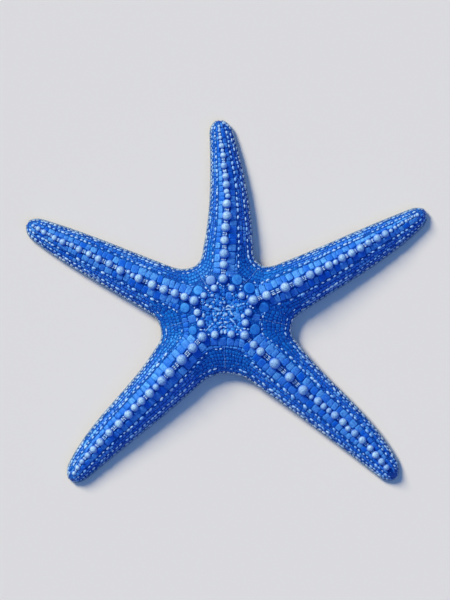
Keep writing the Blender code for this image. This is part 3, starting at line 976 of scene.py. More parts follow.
def store(mesh: Mesh, name: str, values: Array) -> None:
    """Stores what is known of each vertex.

    Args:
        mesh: The mesh.
        name: Of the attribute.
        values: A value or a vector for each vertex.
    """
    kind, field = ("FLOAT_VECTOR", "vector") if values.ndim == 2 else ("FLOAT", "value")
    attribute = mesh.attributes.new(name, kind, "POINT")
    attribute.data.foreach_set(field, values.astype(np.float32).ravel())


def grid_faces(rows: int, columns: int, start: int = 0) -> Array:
    """Returns the four-sided faces of a net of points."""
    corner = np.arange((rows - 1) * columns).reshape(rows - 1, columns)[:, :-1].ravel() + start
    return np.stack([corner, corner + 1, corner + columns + 1, corner + columns], -1)


class Maker:
    """A node tree in the making."""

    tree: bpy.types.NodeTree

    def add(
        self, kind: str, inputs: dict[Any, Any] | None = None, out: str | None = None, **settings: Any
    ) -> NodeSocket:
        """Adds a node as add_node does, and returns its output of the given name, or else its first."""
        node = add_node(self.tree, kind, inputs, **settings)
        return next(s for s in node.outputs if s.enabled and out in (None, s.name))


# Long names of kinds of nodes that come up again and again.
STORE = "GeometryNodeStoreNamedAttribute"
VECTOR_MATH = "ShaderNodeVectorMath"
RAMP = "ShaderNodeMapRange"
# The named inputs of the tree of studs, and the kinds of their sockets.
STUD_INPUTS = {
    "Segments": "Int", "Rings": "Int", "Squareness": "Vector", "Half sizes": "Vector", "Lift": "Float",
    "Uneven size": "Float", "Uneven place": "Float", "Uneven turn": "Float", "Patch": "Float",
    "Spacing": "Float", "Seed": "Int", "Material": "Material",
}
# Values that a guide's points give to the studs on them, and the most points for each square metre.
STUD_VALUES = ("facing", "along", "size", "unwrap")
MOST_STUDS = 2.0e6


class StudTree(Maker):
    """The Geometry Nodes tree that stands a rounded stud on points, or strews studs over a skin."""

    def __init__(self, name: str, strewn: bool) -> None:
        """Builds the tree.

        Args:
            name: Of the tree.
            strewn: Whether the studs find their own places on a skin, no closer than a spacing.
        """
        self.tree = bpy.data.node_groups.new(name, "GeometryNodeTree")
        sockets = self.tree.interface
        sockets.new_socket("Geometry", in_out="OUTPUT", socket_type="NodeSocketGeometry")
        for socket, kind in {"Geometry": "Geometry", **STUD_INPUTS}.items():
            if strewn or socket != "Spacing":
                sockets.new_socket(socket, in_out="INPUT", socket_type=f"NodeSocket{kind}")
        self.given = add_node(self.tree, "NodeGroupInput").outputs
        self.read = {
            value: self.add("GeometryNodeInputNamedAttribute", {"Name": value}, data_type="FLOAT_VECTOR")
            for value in (*STUD_VALUES, "form")
        }
        *self.draws, tint = self._draws()
        given = self.given["Geometry"], self.read["along"], self.read["size"]
        self._end(self._stood(*(self._strewn() if strewn else given)), tint)

    def _strewn(self) -> tuple[Any, Any, Any]:
        """Finds points on a skin, more of them where it is more open.

        Returns:
            The points, the directions of the studs' lengths, and what their sizes are multiplied by.
        """
        share = self.add("GeometryNodeInputNamedAttribute", {"Name": "open"}, data_type="FLOAT")
        inputs = {
            "Mesh": self.given["Geometry"], "Seed": self.given["Seed"], "Density Factor": share,
            "Density Max": MOST_STUDS, "Distance Min": self.given["Spacing"],
        }
        kind = "GeometryNodeDistributePointsOnFaces"
        found = add_node(self.tree, kind, inputs, distribute_method="POISSON").outputs
        keep = {"Geometry": found["Points"], "Name": "facing", "Value": found["Normal"]}
        points = self.add(STORE, keep, data_type="FLOAT_VECTOR", domain="POINT")
        ends = {"Min": (-1.0,) * 3, "Max": (1.0,) * 3}
        along = self.add("FunctionNodeRandomValue", ends, data_type="FLOAT_VECTOR")
        return points, along, self.add("ShaderNodeCombineXYZ", {axis: 1.0 for axis in "XYZ"})

    def _draws(self) -> list[Any]:
        """Draws each stud's unevenness.

        Returns:
            Its two moves across the skin, its turn, its growth, and a tint from 0 to 1.
        """
        place, turn, size = (self.given[f"Uneven {what}"] for what in ("place", "turn", "size"))
        ranges = ((0.0, place), (0.0, place), (0.0, turn), (1.0, size), (0.5, 0.5))
        drawn = []
        for number, (middle, reach) in enumerate(ranges, 1):
            seed = self.add("ShaderNodeMath", {0: self.given["Seed"], 1: float(number)}, operation="ADD")
            least = self.add("ShaderNodeMath", {0: middle, 1: reach}, operation="SUBTRACT")
            most = self.add("ShaderNodeMath", {0: middle, 1: reach}, operation="ADD")
            ends = {"Min": least, "Max": most, "Seed": seed}
            drawn.append(self.add("FunctionNodeRandomValue", ends, data_type="FLOAT"))
        return drawn

    def _block(self) -> Any:
        """Shapes a ball of radius 1 into a rounded block, which keeps its own form as an attribute.

        Returns:
            The block's geometry.
        """
        facets = {name: self.given[name] for name in ("Segments", "Rings")}
        ball = self.add("GeometryNodeMeshUVSphere", facets)
        here = self.add("GeometryNodeInputPosition")
        size = self.add(VECTOR_MATH, {0: here}, operation="ABSOLUTE")
        bent = self.add(VECTOR_MATH, {0: size, 1: self.given["Squareness"]}, operation="POWER")
        sign = self.add(VECTOR_MATH, {0: here}, operation="SIGN")
        shaped = self.add(VECTOR_MATH, {0: bent, 1: sign}, operation="MULTIPLY")
        block = self.add("GeometryNodeSetPosition", {"Geometry": ball, "Position": shaped})
        keep = {"Geometry": block, "Name": "form", "Value": self.add("GeometryNodeInputPosition")}
        return self.add(STORE, keep, data_type="FLOAT_VECTOR", domain="POINT")

    def _stood(self, points: Any, along: Any, times: Any) -> Any:
        """Stands a block on each point.

        Args:
            points: The points.
            along: The direction of each block's length.
            times: What each block's size is multiplied by.

        Returns:
            The blocks, as instances.
        """
        facing = self.read["facing"]
        aside_x, aside_y, twist, growth = self.draws
        shift = self.add("ShaderNodeCombineXYZ", {"X": aside_x, "Y": aside_y, "Z": 0.0})
        out = self.add(VECTOR_MATH, {0: shift, 1: facing}, operation="PROJECT")
        shift = self.add(VECTOR_MATH, {0: shift, 1: out}, operation="SUBTRACT")
        lift = self.add(VECTOR_MATH, {0: facing, "Scale": self.given["Lift"]}, operation="SCALE")
        shift = self.add(VECTOR_MATH, {0: shift, 1: lift}, operation="ADD")
        points = self.add("GeometryNodeSetPosition", {"Geometry": points, "Offset": shift})
        axes = {"Primary Axis": facing, "Secondary Axis": along}
        upright = self.add("FunctionNodeAxesToRotation", axes)
        angles = self.add("ShaderNodeCombineXYZ", {"X": 0.0, "Y": 0.0, "Z": twist})
        turn = {"Rotation": upright, "Rotate By": self.add("FunctionNodeEulerToRotation", {"Euler": angles})}
        turned = self.add("FunctionNodeRotateRotation", turn, rotation_space="LOCAL")
        grown = self.add(VECTOR_MATH, {0: times, "Scale": growth}, operation="SCALE")
        scale = self.add(VECTOR_MATH, {0: grown, 1: self.given["Half sizes"]}, operation="MULTIPLY")
        inputs = {"Points": points, "Instance": self._block(), "Rotation": turned, "Scale": scale}
        return self.add("GeometryNodeInstanceOnPoints", inputs)

    def _end(self, studs: Any, tint: Any) -> None:
        """Makes the studs real, with a tint and a patch of unwrapping each, and ends the tree.

        Args:
            studs: The instances.
            tint: A random value from 0 to 1 for each.
        """
        keep = {"Geometry": studs, "Name": "tint", "Value": tint}
        studs = self.add(STORE, keep, data_type="FLOAT", domain="INSTANCE")
        studs = self.add("GeometryNodeRealizeInstances", {"Geometry": studs})
        reach = {0: self.read["form"], "Scale": self.given["Patch"]}
        patch = {0: self.read["unwrap"], 1: self.add(VECTOR_MATH, reach, operation="SCALE")}
        patch = self.add(VECTOR_MATH, patch, operation="ADD")
        keep = {"Geometry": studs, "Name": "OFBake", "Value": patch}
        studs = self.add(STORE, keep, data_type="FLOAT2", domain="CORNER")
        for name in (*STUD_VALUES, "open"):
            studs = self.add("GeometryNodeRemoveAttribute", {"Geometry": studs, "Name": name})
        studs = self.add("GeometryNodeSetShadeSmooth", {"Geometry": studs})
        studs = self.add("GeometryNodeSetMaterial", {"Geometry": studs, "Material": self.given["Material"]})
        add_node(self.tree, "NodeGroupOutput", {"Geometry": studs})

    def put_on(self, guide: Object, values: dict[str, Any]) -> None:
        """Adds the tree to an object as a modifier, with its inputs set by their identifiers.

        Args:
            guide: The object.
            values: Of the inputs, by name.
        """
        modifier = guide.modifiers.new(self.tree.name, "NODES")
        modifier.node_group = self.tree
        for item in self.tree.interface.items_tree:
            if item.in_out == "INPUT" and item.name in values:
                modifier[item.identifier] = values[item.name]


# ---- Finishes ------------------------------


class Slot(Enum):
    """The record's material slots."""

    SKIN = "skin"
    OSSICLE = "ossicle"
    EYE_SPOT = "eye_spot"


def span(low: float, high: float, start: float = 0.0, end: float = 1.0) -> dict[str, float]:
    """Returns the inputs of a smooth change from one range of values to another."""
    return {"From Min": low, "From Max": high, "To Min": start, "To Max": end}


class Shader(Maker):
    """A Principled material in the making."""

    def __init__(self, name: str, roughness: float, specular: float, sheen: str = "#FFFFFF") -> None:
        """Starts the material, with what is the same all over it set on the shader's own sockets.

        Args:
            name: Of the material.
            roughness: Of its surface.
            specular: How strongly it mirrors; 0.5 is usual.
            sheen: Colour of what it mirrors.
        """
        self.material = bpy.data.materials.new(name)
        self.material.use_nodes = True
        self.tree = self.material.node_tree
        self.sockets = self.tree.nodes["Principled BSDF"].inputs
        self.sockets["Roughness"].default_value = roughness
        self.sockets["Specular IOR Level"].default_value = specular
        self.sockets["Specular Tint"].default_value = linear(sheen)
        self.place = self.add("ShaderNodeTexCoord", out="Object")

    def fineness(self, size: float) -> dict[str, Any]:
        """Returns the inputs of a pattern on the piece, whose features have a size in millimetres."""
        return {"Vector": self.place, "Scale": 1 / (size * MM)}

    def paint(self, ground: str, layers: list[tuple[Any, dict[str, float] | None, str]]) -> None:
        """Lays colours over each other.

        Args:
            ground: The lowest colour.
            layers: For each colour, what its strength follows, how (or None for just so), and the colour.
        """
        colour = linear(ground)
        for share, change, over in layers:
            if change:
                change = {"Value": share, **change}
                share = self.add(RAMP, change, interpolation_type="SMOOTHSTEP")
            mixed = {"Factor": share, "A": colour, "B": linear(over)}
            colour = self.add("ShaderNodeMix", mixed, data_type="RGBA")
        self.tree.links.new(colour, self.sockets["Base Color"])

    def emboss(self, reliefs: list[tuple[Any, float]]) -> None:
        """Raises the surface by one height after another.

        Args:
            reliefs: Sockets of heights from 0 to 1, each with its depth in millimetres.
        """
        below = {}
        for height, depth in reliefs:
            inputs = {"Height": height, "Distance": depth * MM, "Strength": 1.0, **below}
            below = {"Normal": self.add("ShaderNodeBump", inputs)}
        self.tree.links.new(below["Normal"], self.sockets["Normal"])


# The mottling inside every pattern is soft.
NOISE_ROUGHNESS = 0.55
# Wet blue skin mirrors pale light with a turquoise cast.
WET_BLUE_SHEEN = "#80DCFF"


@dataclass(frozen=True)
class LivingSkin:
    """Thin wet skin, grown over a net of limy plates.

    It gives the eye a deep blue with a satin gleam, paler in patches and where a plate presses up, darker
    along the seams between plates, and bleached under the body. The real seams are about 0.5 mm apart, too
    fine to show, so they are drawn at twice that. A seam's shares are how far its colour and its groove reach
    into a plate, and the pores are the skin's fine grain.
    """

    name: str = "wet_skin_over_limy_plates"
    deep: str = "#004AB8"
    mid: str = "#005CCA"
    pale: str = "#0C7CE2"
    seam: str = "#003A9E"
    underside: str = "#7FA3D8"
    cell: float = 1.1
    patch: float = 7.0
    seam_share: tuple[float, float] = (0.16, 0.25)
    seam_depth: float = 0.22
    pore: float = 0.5
    pore_depth: float = 0.05
    roughness: float = 0.5
    specular: float = 0.6

    def make(self) -> Material:
        """Builds the material.

        Returns:
            The material.
        """
        dress = Shader(self.name, self.roughness, self.specular, WET_BLUE_SHEEN)
        soft = {"Detail": 2.0, "Roughness": NOISE_ROUGHNESS}
        patches = dress.add("ShaderNodeTexNoise", {**dress.fineness(self.patch), **soft})
        cells = dress.add("ShaderNodeTexVoronoi", dress.fineness(self.cell), "Color", feature="F1")
        tone = dress.add("ShaderNodeSeparateXYZ", {"Vector": cells}, "X")
        edge = dress.add("ShaderNodeTexVoronoi", dress.fineness(self.cell), feature="DISTANCE_TO_EDGE")
        under = dress.add("ShaderNodeAttribute", None, "Vector", attribute_name="under")
        below = dress.add("ShaderNodeSeparateXYZ", {"Vector": under}, "X")
        layers = [
            (patches, span(0.35, 0.65), self.mid),
            (tone, span(0.55, 1.0, 0.0, 0.7), self.pale),
            (edge, span(0.0, self.seam_share[0], 0.85, 0.0), self.seam),
            (below, span(0.0, 1.0), self.underside),
        ]
        dress.paint(self.deep, layers)
        groove = {"Value": edge, **span(0.0, self.seam_share[1])}
        groove = dress.add(RAMP, groove, interpolation_type="SMOOTHSTEP")
        pores = dress.add("ShaderNodeTexNoise", {**dress.fineness(self.pore), **soft})
        dress.emboss([(groove, self.seam_depth), (pores, self.pore_depth)])
        return dress.material


@dataclass(frozen=True)
class Pits:
    """The few dark pits that wear and broken spines leave on top of a knob.

    Their number is how many would lie across the knob's radius. The reach is where a pit's wall starts and
    ends, as shares of the way to the next, and the top is where up the knob they begin and are fullest.
    """

    colour: str = "#304878"
    number: float = 1.9
    reach: tuple[float, float] = (0.12, 0.3)
    top: tuple[float, float] = (0.6, 0.85)
    depth: float = 0.15


@dataclass(frozen=True)
class StudSkin:
    """Skin stretched over a raised plate or bead: smooth on top, with painted shade where it meets the body.

    Real mottling is about 0.1 mm fine, too fine to show, so each finish draws it coarser. Colours are those
    of the foot, which is painted shade, of the darker and the paler studs, of what the skin mirrors, of the
    brighter line round the top of a flat plate, which is a painted highlight, and of the flecks. Heights run
    from -1 at the bottom of a stud to 1 on top.

    Attributes:
        mottle: Size of the fine mottling.
        foot_shade_at: Height at which the foot's colour ends.
        foot_shade_depth: Height over which it ends.
        grain: Depth of the fine grain.
        rim_span: Heights where the brighter line, a painted highlight, begins and ends, and its strength.
        fleck_span: Where in the mottling the flecks begin and end, and their strength.
        darker: Share of the studs that are as dark as the darkest.
    """

    name: str
    # The colour of the painted shade at the stud's foot.
    foot: str
    low: str
    high: str
    mottle: float = 0.3
    roughness: float = 0.45
    specular: float = 0.4
    foot_shade_at: float = 0.55
    foot_shade_depth: float = 0.5
    grain: float = 0.03
    sheen: str = "#FFFFFF"
    # The colour of the painted highlight round the top of a flat plate, if any.
    rim: str | None = None
    rim_span: Triple = (0.8, 0.95, 0.5)
    fleck: str | None = None
    fleck_span: Triple = (0.45, 0.6, 0.55)
    darker: float = 0.0
    pits: Pits | None = None

    def make(self) -> Material:
        """Builds the material.

        Returns:
            The material.
        """
        dress = Shader(self.name, self.roughness, self.specular, self.sheen)
        tint = dress.add("ShaderNodeAttribute", None, "Fac", attribute_name="tint")
        form = dress.add("ShaderNodeAttribute", None, "Vector", attribute_name="form")
        height = dress.add("ShaderNodeSeparateXYZ", {"Vector": form}, "Z")
        flecks, grain = (
            dress.add(
                "ShaderNodeTexNoise",
                {**dress.fineness(self.mottle), "Detail": detail, "Roughness": NOISE_ROUGHNESS},
            )
            for detail in (3.0, 2.0)
        )
        start, end, strength = self.fleck_span
        layers = [
            (tint, span(self.darker, 1.0), self.high),
            (flecks, span(start, end, 0.0, strength), self.fleck or self.low),
        ]
        # A painted highlight: a brighter line round the top of the stud.
        if self.rim:
            start, end, strength = self.rim_span
            layers.append((height, span(start, end, strength, 0.0), self.rim))
        # Painted shade: the colour darkens to the foot's towards where the stud meets the body.
        layers.append((height, span(self.foot_shade_at - self.foot_shade_depth, self.foot_shade_at, 1.0, 0.0), self.foot))
        reliefs = [(grain, self.grain)]
        if self.pits:
            holes = {"Vector": form, "Scale": self.pits.number}
            holes = dress.add("ShaderNodeTexVoronoi", holes, feature="F1")
            changes = (
                {"Value": holes, **span(*self.pits.reach, 1.0, 0.0)},
                {"Value": height, **span(*self.pits.top)},
            )
            holes, top = (dress.add(RAMP, change, interpolation_type="SMOOTHSTEP") for change in changes)
            depth = dress.add("ShaderNodeMath", {0: holes, 1: top}, operation="MULTIPLY")
            layers.append((depth, None, self.pits.colour))
            lowered = dress.add("ShaderNodeMath", {0: 1.0, 1: depth}, operation="SUBTRACT")
            reliefs.append((lowered, self.pits.depth))
        dress.paint(self.low, layers)
        dress.emboss(reliefs)
        return dress.material


@dataclass(frozen=True)
class FloorPaint:
    """Matt pale paint, rolled on a flat board. It gives the eye no pattern and no gleam."""

    name: str = "matt_floor_paint"
    colour: str = "#F4F3E8"
    roughness: float = 0.9
    specular: float = 0.2

    def make(self) -> Material:
        """Builds the material.

        Returns:
            The material.
        """
        dress = Shader(self.name, self.roughness, self.specular)
        dress.sockets["Base Color"].default_value = linear(self.colour)
        return dress.material


# Knobs of limestone under thin worn skin: pale, chalky, softly flecked and pitted on top. Their blue towards
# the foot is painted shade and painted light bounced from the blue skin.
TUBERCLE_SKIN = StudSkin(
    "thin_skin_over_tubercles", foot="#0862DE", low="#A0D0F6", high="#BEEAFF", mottle=0.8, roughness=0.5,
    specular=0.3, foot_shade_at=1.0, foot_shade_depth=0.95, grain=0.05, fleck="#4480D0", pits=Pits(),
)
# Taut wet skin over broad plates: a satin cushion, clouded, with a painted highlight round its brim and
# painted shade darkening it down to the joints.
PLATE_SKIN = StudSkin(
    "skin_over_back_plates", foot="#0044BA", low="#0660E0", high="#5CA8F4", mottle=0.9, roughness=0.55,
    specular=0.8, foot_shade_at=0.66, foot_shade_depth=0.36, grain=0.1, sheen=WET_BLUE_SHEEN, rim="#3498F0",
    fleck="#0450CC",
)
# The same over the biggest plates, with the same painted highlight and painted shade, flatter and more
# evenly clouded.
ROUND_PLATE_SKIN = StudSkin(
    "skin_over_round_plates", foot="#004AB8", low="#1470DC", high="#48A0F0", mottle=1.3, roughness=0.5,
    specular=0.8, foot_shade_at=0.62, foot_shade_depth=0.5, grain=0.06, sheen=WET_BLUE_SHEEN, rim="#2E8EEA",
    fleck="#0054CE",
)
# Wet skin over small plates laid like bricks: half of them deep blue, the rest paler, and all with a gleam.
BRICK_SKIN = StudSkin(
    "skin_over_small_plates", foot="#0046C0", low="#0066DC", high="#64B4F6", mottle=0.6, roughness=0.44,
    specular=1.0, foot_shade_at=0.6, foot_shade_depth=0.34, sheen="#B4E6FF", darker=0.5,
)
# The same near the margin, paler: partly the band's own tone, partly painted light for the brightness of
# the lit flanks.
MARGIN_PLATE_SKIN = StudSkin(
    "skin_over_margin_plates", foot="#0048BC", low="#126CD2", high="#98C8F4", mottle=0.6, roughness=0.42,
    specular=1.0, foot_shade_at=0.6, foot_shade_depth=0.38, sheen="#E0F2FF", darker=0.45,
)
# The same in the crooks between the arms: low in contrast, and darker, which is painted shade for the
# hollow of the crook.
CROOK_SKIN = StudSkin(
    "skin_over_crook_plates", foot="#0046B8", low="#0058C4", high="#127EE0", mottle=0.6, roughness=0.46,
    specular=1.0, foot_shade_at=0.6, foot_shade_depth=0.3, sheen=WET_BLUE_SHEEN,
)
# Wet skin over a paving of cobbles: each rounds off softly into the next.
DISC_SKIN = StudSkin(
    "skin_over_disc_paving", foot="#0850C0", low="#0868D6", high="#3C9CF0", mottle=0.6, roughness=0.48,
    specular=0.8, foot_shade_at=0.7, foot_shade_depth=0.6, sheen=WET_BLUE_SHEEN,
)
# Bare grains of limestone, smooth from growth: small pale drops, painted blue at the foot as shade. Beads,
# bars and granules differ in how pale they are.
BEAD_SKIN = StudSkin(
    "bare_limy_beads", foot="#1470E8", low="#7CBEFC", high="#B8E2FF", roughness=0.42, foot_shade_at=0.1, grain=0.01
)
BAR_SKIN = StudSkin(
    "bare_limy_bars", foot="#1C74E0", low="#98CCFA", high="#D0ECFF", roughness=0.42, foot_shade_at=0.0, grain=0.01
)
GRANULE_SKIN = StudSkin(
    "bare_limy_granules", foot="#1464D8", low="#4C94EA", high="#90C0F2", roughness=0.4, specular=0.35,
    foot_shade_at=0.2, foot_shade_depth=0.4, grain=0.0,
)
# Worn and dusty beads and spinelets at the margin: the same limestone, greyer.
MARGIN_BEAD_SKIN = StudSkin(
    "limy_margin_beads", foot="#1C62BC", low="#7CA8D4", high="#B8D0DE", roughness=0.4, specular=0.8,
    foot_shade_at=0.2, foot_shade_depth=0.6, grain=0.01,
)
SPINELET_SKIN = StudSkin(
    "limy_spinelets", foot="#205CA8", low="#789AB8", high="#ACBECC", roughness=0.5, specular=0.3,
    foot_shade_at=0.3, foot_shade_depth=0.8, grain=0.0,
)
# Blunt limestone spines under the body, in skin with little pigment: bluish white.
UNDER_SPINE_SKIN = StudSkin(
    "limy_furrow_spines", foot="#6F92CC", low="#B6C8E6", high="#DCE6F4",
    foot_shade_at=0.2, foot_shade_depth=0.8, grain=0.0,
)
# Wet, soft, see-through flesh of the tube feet: cream, and glossier than anything else.
FOOT_SKIN = StudSkin(
    "wet_tube_foot_flesh", foot="#A99A7A", low="#D8C9A4", high="#EFE3C6", mottle=0.5, roughness=0.25,
    specular=0.5, foot_shade_at=0.0, foot_shade_depth=0.6, grain=0.0,
)
# Porous limestone of the sieve plate: paler and duller than the plates round it. Its pores are too fine to
# show, and stand as a coarser mottling.
SIEVE_SKIN = StudSkin(
    "limy_sieve_plate", foot="#2F6CCB", low="#6FA6EA", high="#8FBDF2", mottle=0.35, roughness=0.5,
    specular=0.35, foot_shade_at=0.3, grain=0.02,
)
# A cushion of red pigment at each arm's tip, wet, with painted shade darkening its foot.
EYE_SKIN = StudSkin(
    "eye_spot_pigment", foot="#3A0C12", low="#A81E12", high="#C63418", roughness=0.25, specular=0.5,
    foot_shade_at=0.0, foot_shade_depth=0.8, grain=0.01,
)


# ---- Parts ------------------------------


@dataclass
class Studs:
    """A set of like rounded parts that stand on the skin.

    Attributes:
        half_sizes: Half a part's length, width and height.
        facets: Segments round it and rings up it.
        squareness: 1 for a ball, less for a rounded block.
        flatness: The same for its height alone, where that differs.
        lift: How high its middle stands over its root.
        uneven: How much its size, as a share, its place and its turn vary.
        spacing: The least distance between parts that are strewn.
    """

    name: str
    finish: StudSkin
    half_sizes: Triple = (1.0, 1.0, 1.0)
    slot: Slot = Slot.OSSICLE
    facets: tuple[int, int] = (8, 6)
    squareness: float = 1.0
    flatness: float | None = None
    lift: float = 0.0
    uneven: Triple = (0.0, 0.0, 0.0)
    spacing: float = 0.0
    seed: int = 1

    def _dress(self, guide: Object, tree: StudTree) -> Object:
        """Grows the parts on a guide, makes the piece plain, and lets it ride on the body.

        Args:
            guide: The object whose points or faces they grow on.
            tree: The tree that grows them.

        Returns:
            The finished piece.
        """
        size, place, turn = self.uneven
        values = {
            "Segments": self.facets[0], "Rings": self.facets[1],
            "Squareness": (self.squareness, self.squareness, self.flatness or self.squareness),
            "Half sizes": tuple(half * MM for half in self.half_sizes), "Lift": self.lift * MM,
            "Uneven size": size, "Uneven place": place * MM, "Uneven turn": math.radians(turn),
            "Patch": UNWRAP_PATCH, "Spacing": self.spacing * MM, "Seed": self.seed,
            "Material": self.finish.make(),
        }
        tree.put_on(guide, values)
        made = settled(guide, self.name)
        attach(made, BODY)
        LOG.info("%s: %d faces", self.name, len(made.data.polygons))
        return made

    def stand(self, tree: StudTree, sets: list[Places], centre: Array) -> Object:
        """Stands the parts on places.

        Args:
            tree: The tree that stands studs on points.
            sets: Where they stand, from the disc's centre.
            centre: The disc's centre.

        Returns:
            The finished piece.
        """
        places = Places.joined(sets)
        mesh = bpy.data.meshes.new(f"{self.name}_roots")
        moved = places.position + np.array([*centre, 0.0])
        mesh.from_pydata((moved * MM).tolist(), [], [])
        for name, values in zip(STUD_VALUES, places.parts[1:]):
            store(mesh, name, values)
        return self._dress(add_object(f"{self.name}_guide", mesh), tree)

    def strew(self, tree: StudTree, skin: Object, openness: str) -> None:
        """Strews the parts over a skin.

        Args:
            tree: The tree that strews studs.
            skin: The skin.
            openness: The skin's attribute that says where they may stand.
        """
        mesh = skin.data.copy()
        values = np.zeros(len(mesh.vertices), np.float32)
        mesh.attributes[openness].data.foreach_get("value", values)
        store(mesh, "open", values)
        mesh.materials.clear()
        self._dress(add_object(f"{self.name}_guide", mesh), tree)


@dataclass
class Skin:
    """The whole body's skin, in place of the disc and the arms of the frame.

    The steps are points round the margin, across the belly, up a groove's side, in from the ring, and in
    from the mouth's edge. The folds are their height and the radians of wave that make them. Granules grow
    all over a tip, and elsewhere from some way off the midline, and there less densely.
    """

    plan: Plan
    roll_steps: int = 8
    flat_steps: int = 5
    groove_steps: int = 8
    disc_steps: int = 22
    mouth_steps: int = 9
    folds: tuple[float, float] = (0.25, 18)
    cap_grains: float = 1.6
    grains: tuple[float, float] = (2.2, 0.3)

    def build(self) -> Object:
        """Builds and dresses the skin.

        Returns:
            The skin's object.
        """
        points, faces = [], []
        values = {"unwrap": [], "paving": [], "grains": [], "under": [], "belly": []}
        start = 0
        for sector in self.plan.sectors:
            for lay in (self._back, self._belly, self._disc, self._mouth):
                grid, facts = lay(sector)
                rows, columns = grid.shape[:2]
                points.append(grid.reshape(-1, 3))
                faces.append(grid_faces(rows, columns, start))
                for name, column in values.items():
                    width = (3,) if name == "unwrap" else ()
                    fact = np.broadcast_to(facts.get(name, 0.0), (rows, columns, *width))
                    column.append(fact.reshape(rows * columns, *width))
                start += rows * columns
        centre = np.array([*self.plan.centre, 0.0])
        mesh = mesh_of("skin", np.concatenate(points) + centre, np.concatenate(faces))
        for name, column in values.items():
            store(mesh, name, np.concatenate(column))
        self._close(mesh)
        skin = add_object("skin", mesh)
        mesh.materials.append(LivingSkin().make())
        LOG.info("skin: %d faces", len(mesh.polygons))
        return skin

    def _back(self, sector: Sector) -> Grid:
        """Lays the skin of the back.

        Args:
            sector: The part of the body.

        Returns:
            The grid, and what is known of its points.
        """
        share = sector.shares[None, :]
        out = share * sector.width[:, None]
        stations = np.arange(len(sector.back))[:, None] + share * 0
        unwrap = sector.unwrap(stations, share + stations * 0)
        reach = self.cap_grains * sector.cap_steps
        on_cap = (stations < reach) | (stations > len(sector.back) - reach)
        begin, density = self.grains
        grains = np.where(on_cap, 1.0, np.where(out > begin, density, 0.0)) * (share < 0.98)
        return sector.grid, {"unwrap": unwrap, "grains": grains}

    def _belly(self, sector: Sector) -> Grid:
        """Lays the skin of the underside, from margin to groove.

        Args:
            sector: The part of the body.

        Returns:
            The grid, and what is known of its points.
        """
        width = np.linalg.norm(sector.margin - sector.groove, axis=1)
        foot = MARGIN_SHARE * sector.crest
        half = np.minimum(GROOVE_HALF_WIDTH / np.maximum(width, 0.3), GROOVE_WIDTH_SHARE)
        columns = []
        for turn in np.linspace(0, math.pi / 2, self.roll_steps + 1):
            inwards = 1 - MARGIN_ROLL * (1 - math.cos(turn))
            columns.append((inwards + width * 0, COAT_BELOW + (foot - COAT_BELOW) * (1 - math.sin(turn))))
        for step in np.linspace(0, 1, self.flat_steps + 1)[1:-1]:
            columns.append((1 - MARGIN_ROLL + (half - 1 + MARGIN_ROLL) * step, COAT_BELOW + foot * 0))
        roof = GROOVE_SHARE * sector.crest
        for turn in np.linspace(math.pi / 2, 0, self.groove_steps + 1):
            columns.append((half * math.sin(turn), COAT_BELOW + (roof - COAT_BELOW) * math.cos(turn)))
        share, height = (np.stack(column, 1) for column in zip(*columns))
        height = foot[:, None] + (height - foot[:, None]) * sector.roundness[:, None]
        place = sector.groove[:, None] + (sector.margin - sector.groove)[:, None] * share[:, :, None]
        flat = (share > half[:, None] * 1.25) & (share < 0.995)
        order = np.arange(len(columns))[None, :] / len(columns)
        under = np.clip((order - 0.1) / 0.3, 0, 1) + share * 0
        onward = sector.unwrap_strip(np.arange(len(sector.back))[:, None])
        across = UNWRAP_BELLY[0] - UNWRAP_BELLY[1] * order
        unwrap = np.stack([onward + share * 0, across + share * 0, share * 0], -1)
        facts = {"unwrap": unwrap, "under": under, "belly": flat.astype(float)}
        return np.insert(place, 2, height, axis=2), facts

    def _rays(self, sector: Sector, radius: float, steps: int) -> tuple[Array, Array, Array]:
        """Lays a part of a disc out as rays.

        Args:
            sector: The part of the body.
            radius: Of the disc's corners.
            steps: Points on a ray.

        Returns:
            The rim's points, the shares of the way from the centre to it, and the places from above.
        """
        rim = ring_side(sector.first, sector.last, np.linspace(0, 1, sector.side_steps + 1), radius)
        reach = np.linspace(1, 0, steps)[None, :]
        return rim, reach, rim[:, None] * reach[:, :, None]

    def _disc(self, sector: Sector) -> Grid:
        """Lays the skin of the disc's middle, from the ring to the centre.

        Args:
            sector: The part of the body.

        Returns:
            The grid, and what is known of its points.
        """
        rim, reach, place = self._rays(sector, RING_RADIUS, self.disc_steps)
        height = disc_height(reach) + place[:, :, 0] * 0
        around = 0.5 + 0.45 * reach[:, :, None] * unit(rim)[:, None]
        unwrap = np.stack([around[:, :, 0], 0.25 * around[:, :, 1], height * 0], -1)
        free = (reach < 0.95) + height * 0
        return np.insert(place, 2, height, axis=2), {"unwrap": unwrap, "paving": free, "grains": free}

    def _mouth(self, sector: Sector) -> Grid:
        """Lays the soft skin round the mouth, in low folds.

        Args:
            sector: The part of the body.

        Returns:
            The grid, and what is known of its points.
        """
        _, reach, place = self._rays(sector, MOUTH_RADIUS, self.mouth_steps)
        edge = GROOVE_SHARE * CREST_AT_RING
        folds = self.folds[0] * np.sin(reach * self.folds[1]) * reach * (1 - reach)
        height = MOUTH_HEIGHT + (edge - MOUTH_HEIGHT) * reach**2 + folds + place[:, :, 0] * 0
        unwrap = np.stack([0.9 + height * 0, 0.05 + height * 0, height * 0], -1)
        return np.insert(place, 2, height, axis=2), {"unwrap": unwrap, "under": height * 0 + 1}

    @staticmethod
    def _close(mesh: Mesh) -> None:
        """Joins the grids along their seams, and turns the faces outwards.

        Args:
            mesh: The skin's mesh.
        """
        work = bmesh.new()
        work.from_mesh(mesh)
        bmesh.ops.remove_doubles(work, verts=work.verts, dist=2e-6)
        bmesh.ops.dissolve_degenerate(work, edges=work.edges, dist=1e-6)
        bmesh.ops.recalc_face_normals(work, faces=work.faces)
        work.to_mesh(mesh)
        work.free()
        mesh.shade_smooth()


